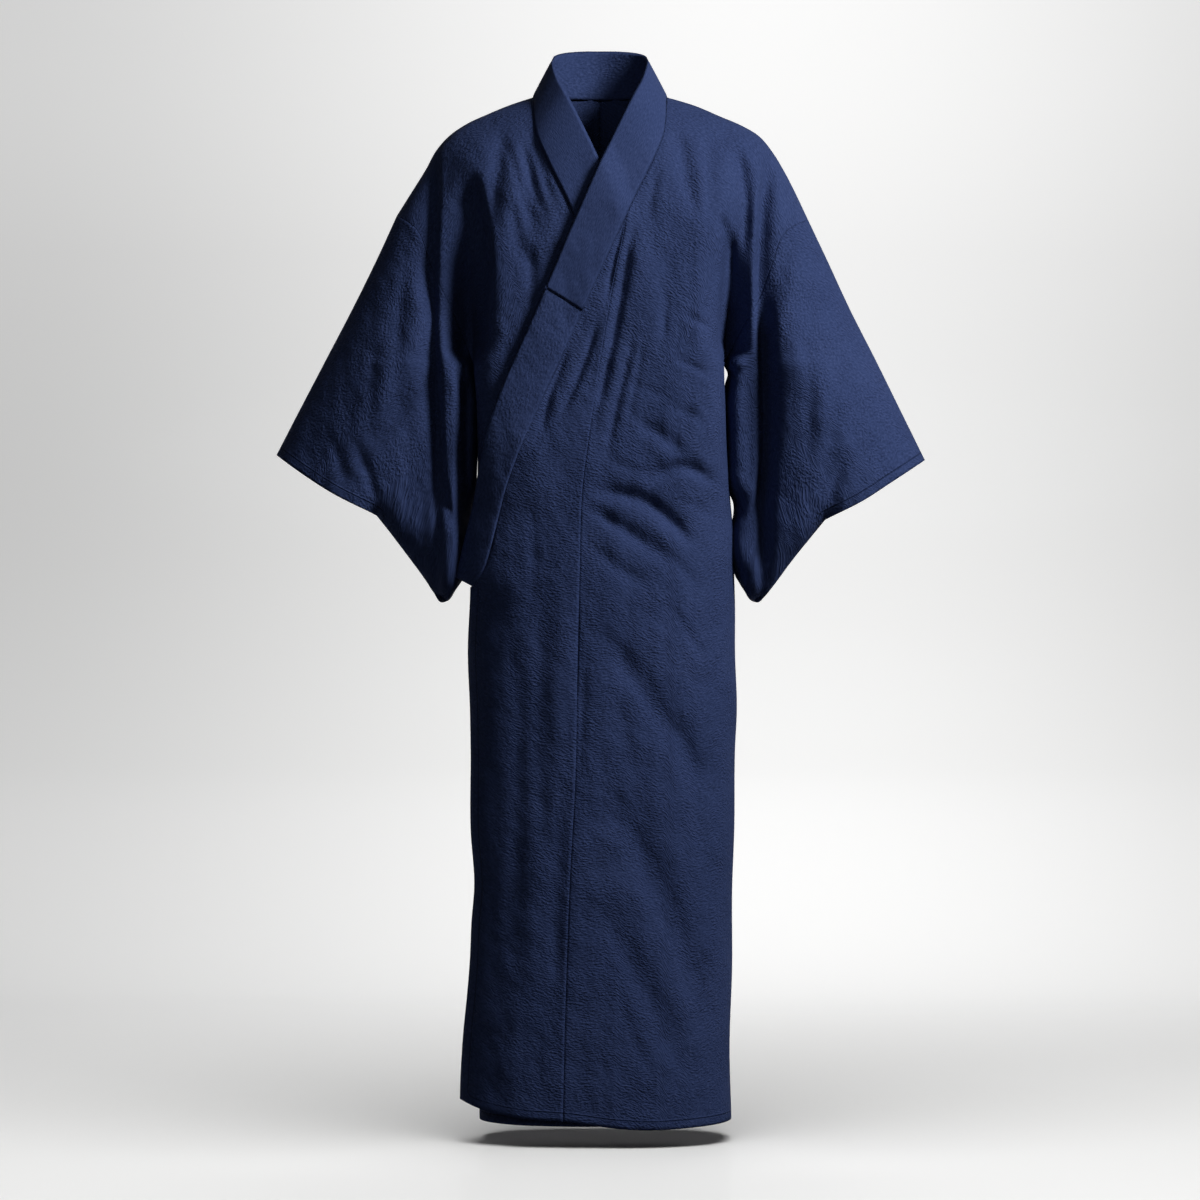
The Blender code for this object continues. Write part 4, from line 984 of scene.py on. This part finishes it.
tone = node(tree, "MapRange", {0: aside, 1: 0.0, 2: GLOW_REACH, 3: PAPER_GLOW[0],
            4: PAPER_GLOW[1]}, interpolation_type="SMOOTHSTEP")
wall_share = node(tree, "MapRange", {0: parts.outputs["Y"], 1: GLOW_START, 2: GLOW_FULL},
                  interpolation_type="SMOOTHSTEP")
above = node(tree, "MapRange", {0: parts.outputs["Z"], 1: CAMERA_HEIGHT,
             2: CAMERA_HEIGHT + TOP_RISE, 3: 0.0, 4: TOP_GLOW}, interpolation_type="SMOOTHSTEP")
tone = node(tree, "Math", {0: tone, 1: above}, operation="ADD")
glow = node(tree, "Math", {0: tone, 1: wall_share}, operation="MULTIPLY")
matt = node(tree, "BsdfPrincipled", {"Base Color": linear("e9e9e8"), "Roughness": 0.8,
            "Specular IOR Level": 0.0, "Emission Color": linear("ffffff"),
            "Emission Strength": glow})
gloss = node(tree, "BsdfGlossy", {"Color": linear("f4f2f8"), "Roughness": 0.10})
skin = node(tree, "MixShader", {0: MIRROR, 1: matt, 2: gloss})
node(tree, "OutputMaterial", {"Surface": skin})
sweep.data.materials.append(paper)

bpy.context.scene.view_settings.view_transform = "Standard"
world = bpy.data.worlds.new("studio")
bpy.context.scene.world = world
world.use_nodes = True
world.node_tree.nodes["Background"].inputs["Color"].default_value = (1.0, 1.0, 1.0, 1.0)
world.node_tree.nodes["Background"].inputs["Strength"].default_value = WORLD_LIGHT


def soft_light(name, place, target, size, power, lit):
    """A round soft light on those things alone, which everything shades."""
    lamp = bpy.data.lights.new(name, "AREA")
    lamp.shape = "DISK"
    lamp.size = size
    lamp.energy = power
    lamp = bpy.data.objects.new(name, lamp)
    lamp.location = place
    lamp.rotation_euler = (Vector(target) - Vector(place)).to_track_quat("-Z", "Y").to_euler()
    lamp.visible_camera = lamp.visible_glossy = False
    bpy.context.scene.collection.objects.link(lamp)
    group = bpy.data.collections.new(name + "_on")
    for thing in lit:
        group.objects.link(thing)
    lamp.light_linking.receiver_collection = group


robe = [thing for thing in bpy.context.scene.objects
        if thing.type == "MESH" and thing != sweep]
soft_light("key", (1.8, -1.35, 1.05), (0.0, 0.0, -0.55), size=1.0, power=80.0, lit=robe)
soft_light("fill", (-0.6, -4.0, 0.4), (0.0, 0.0, -0.4), size=1.8, power=9.0, lit=robe)
soft_light("paper_light", (0.3, -1.5, 3.0), (0.3, -1.5, -1.4), size=4.0, power=246.0,
           lit=[sweep])
soft_light("light_behind", (0.3, 2.2, 3.0), (0.3, -1.0, -1.4), size=2.0, power=42.0,
           lit=[sweep])

camera = bpy.data.objects.new("camera", bpy.data.cameras.new("camera"))
camera.location = (0.0, -CAMERA_DISTANCE, CAMERA_HEIGHT)
camera.rotation_euler = (math.radians(90.0), 0.0, 0.0)
camera.data.sensor_width = SENSOR
camera.data.lens = SENSOR * CAMERA_DISTANCE / FRAME_WIDTH
bpy.context.scene.collection.objects.link(camera)
bpy.context.scene.camera = camera
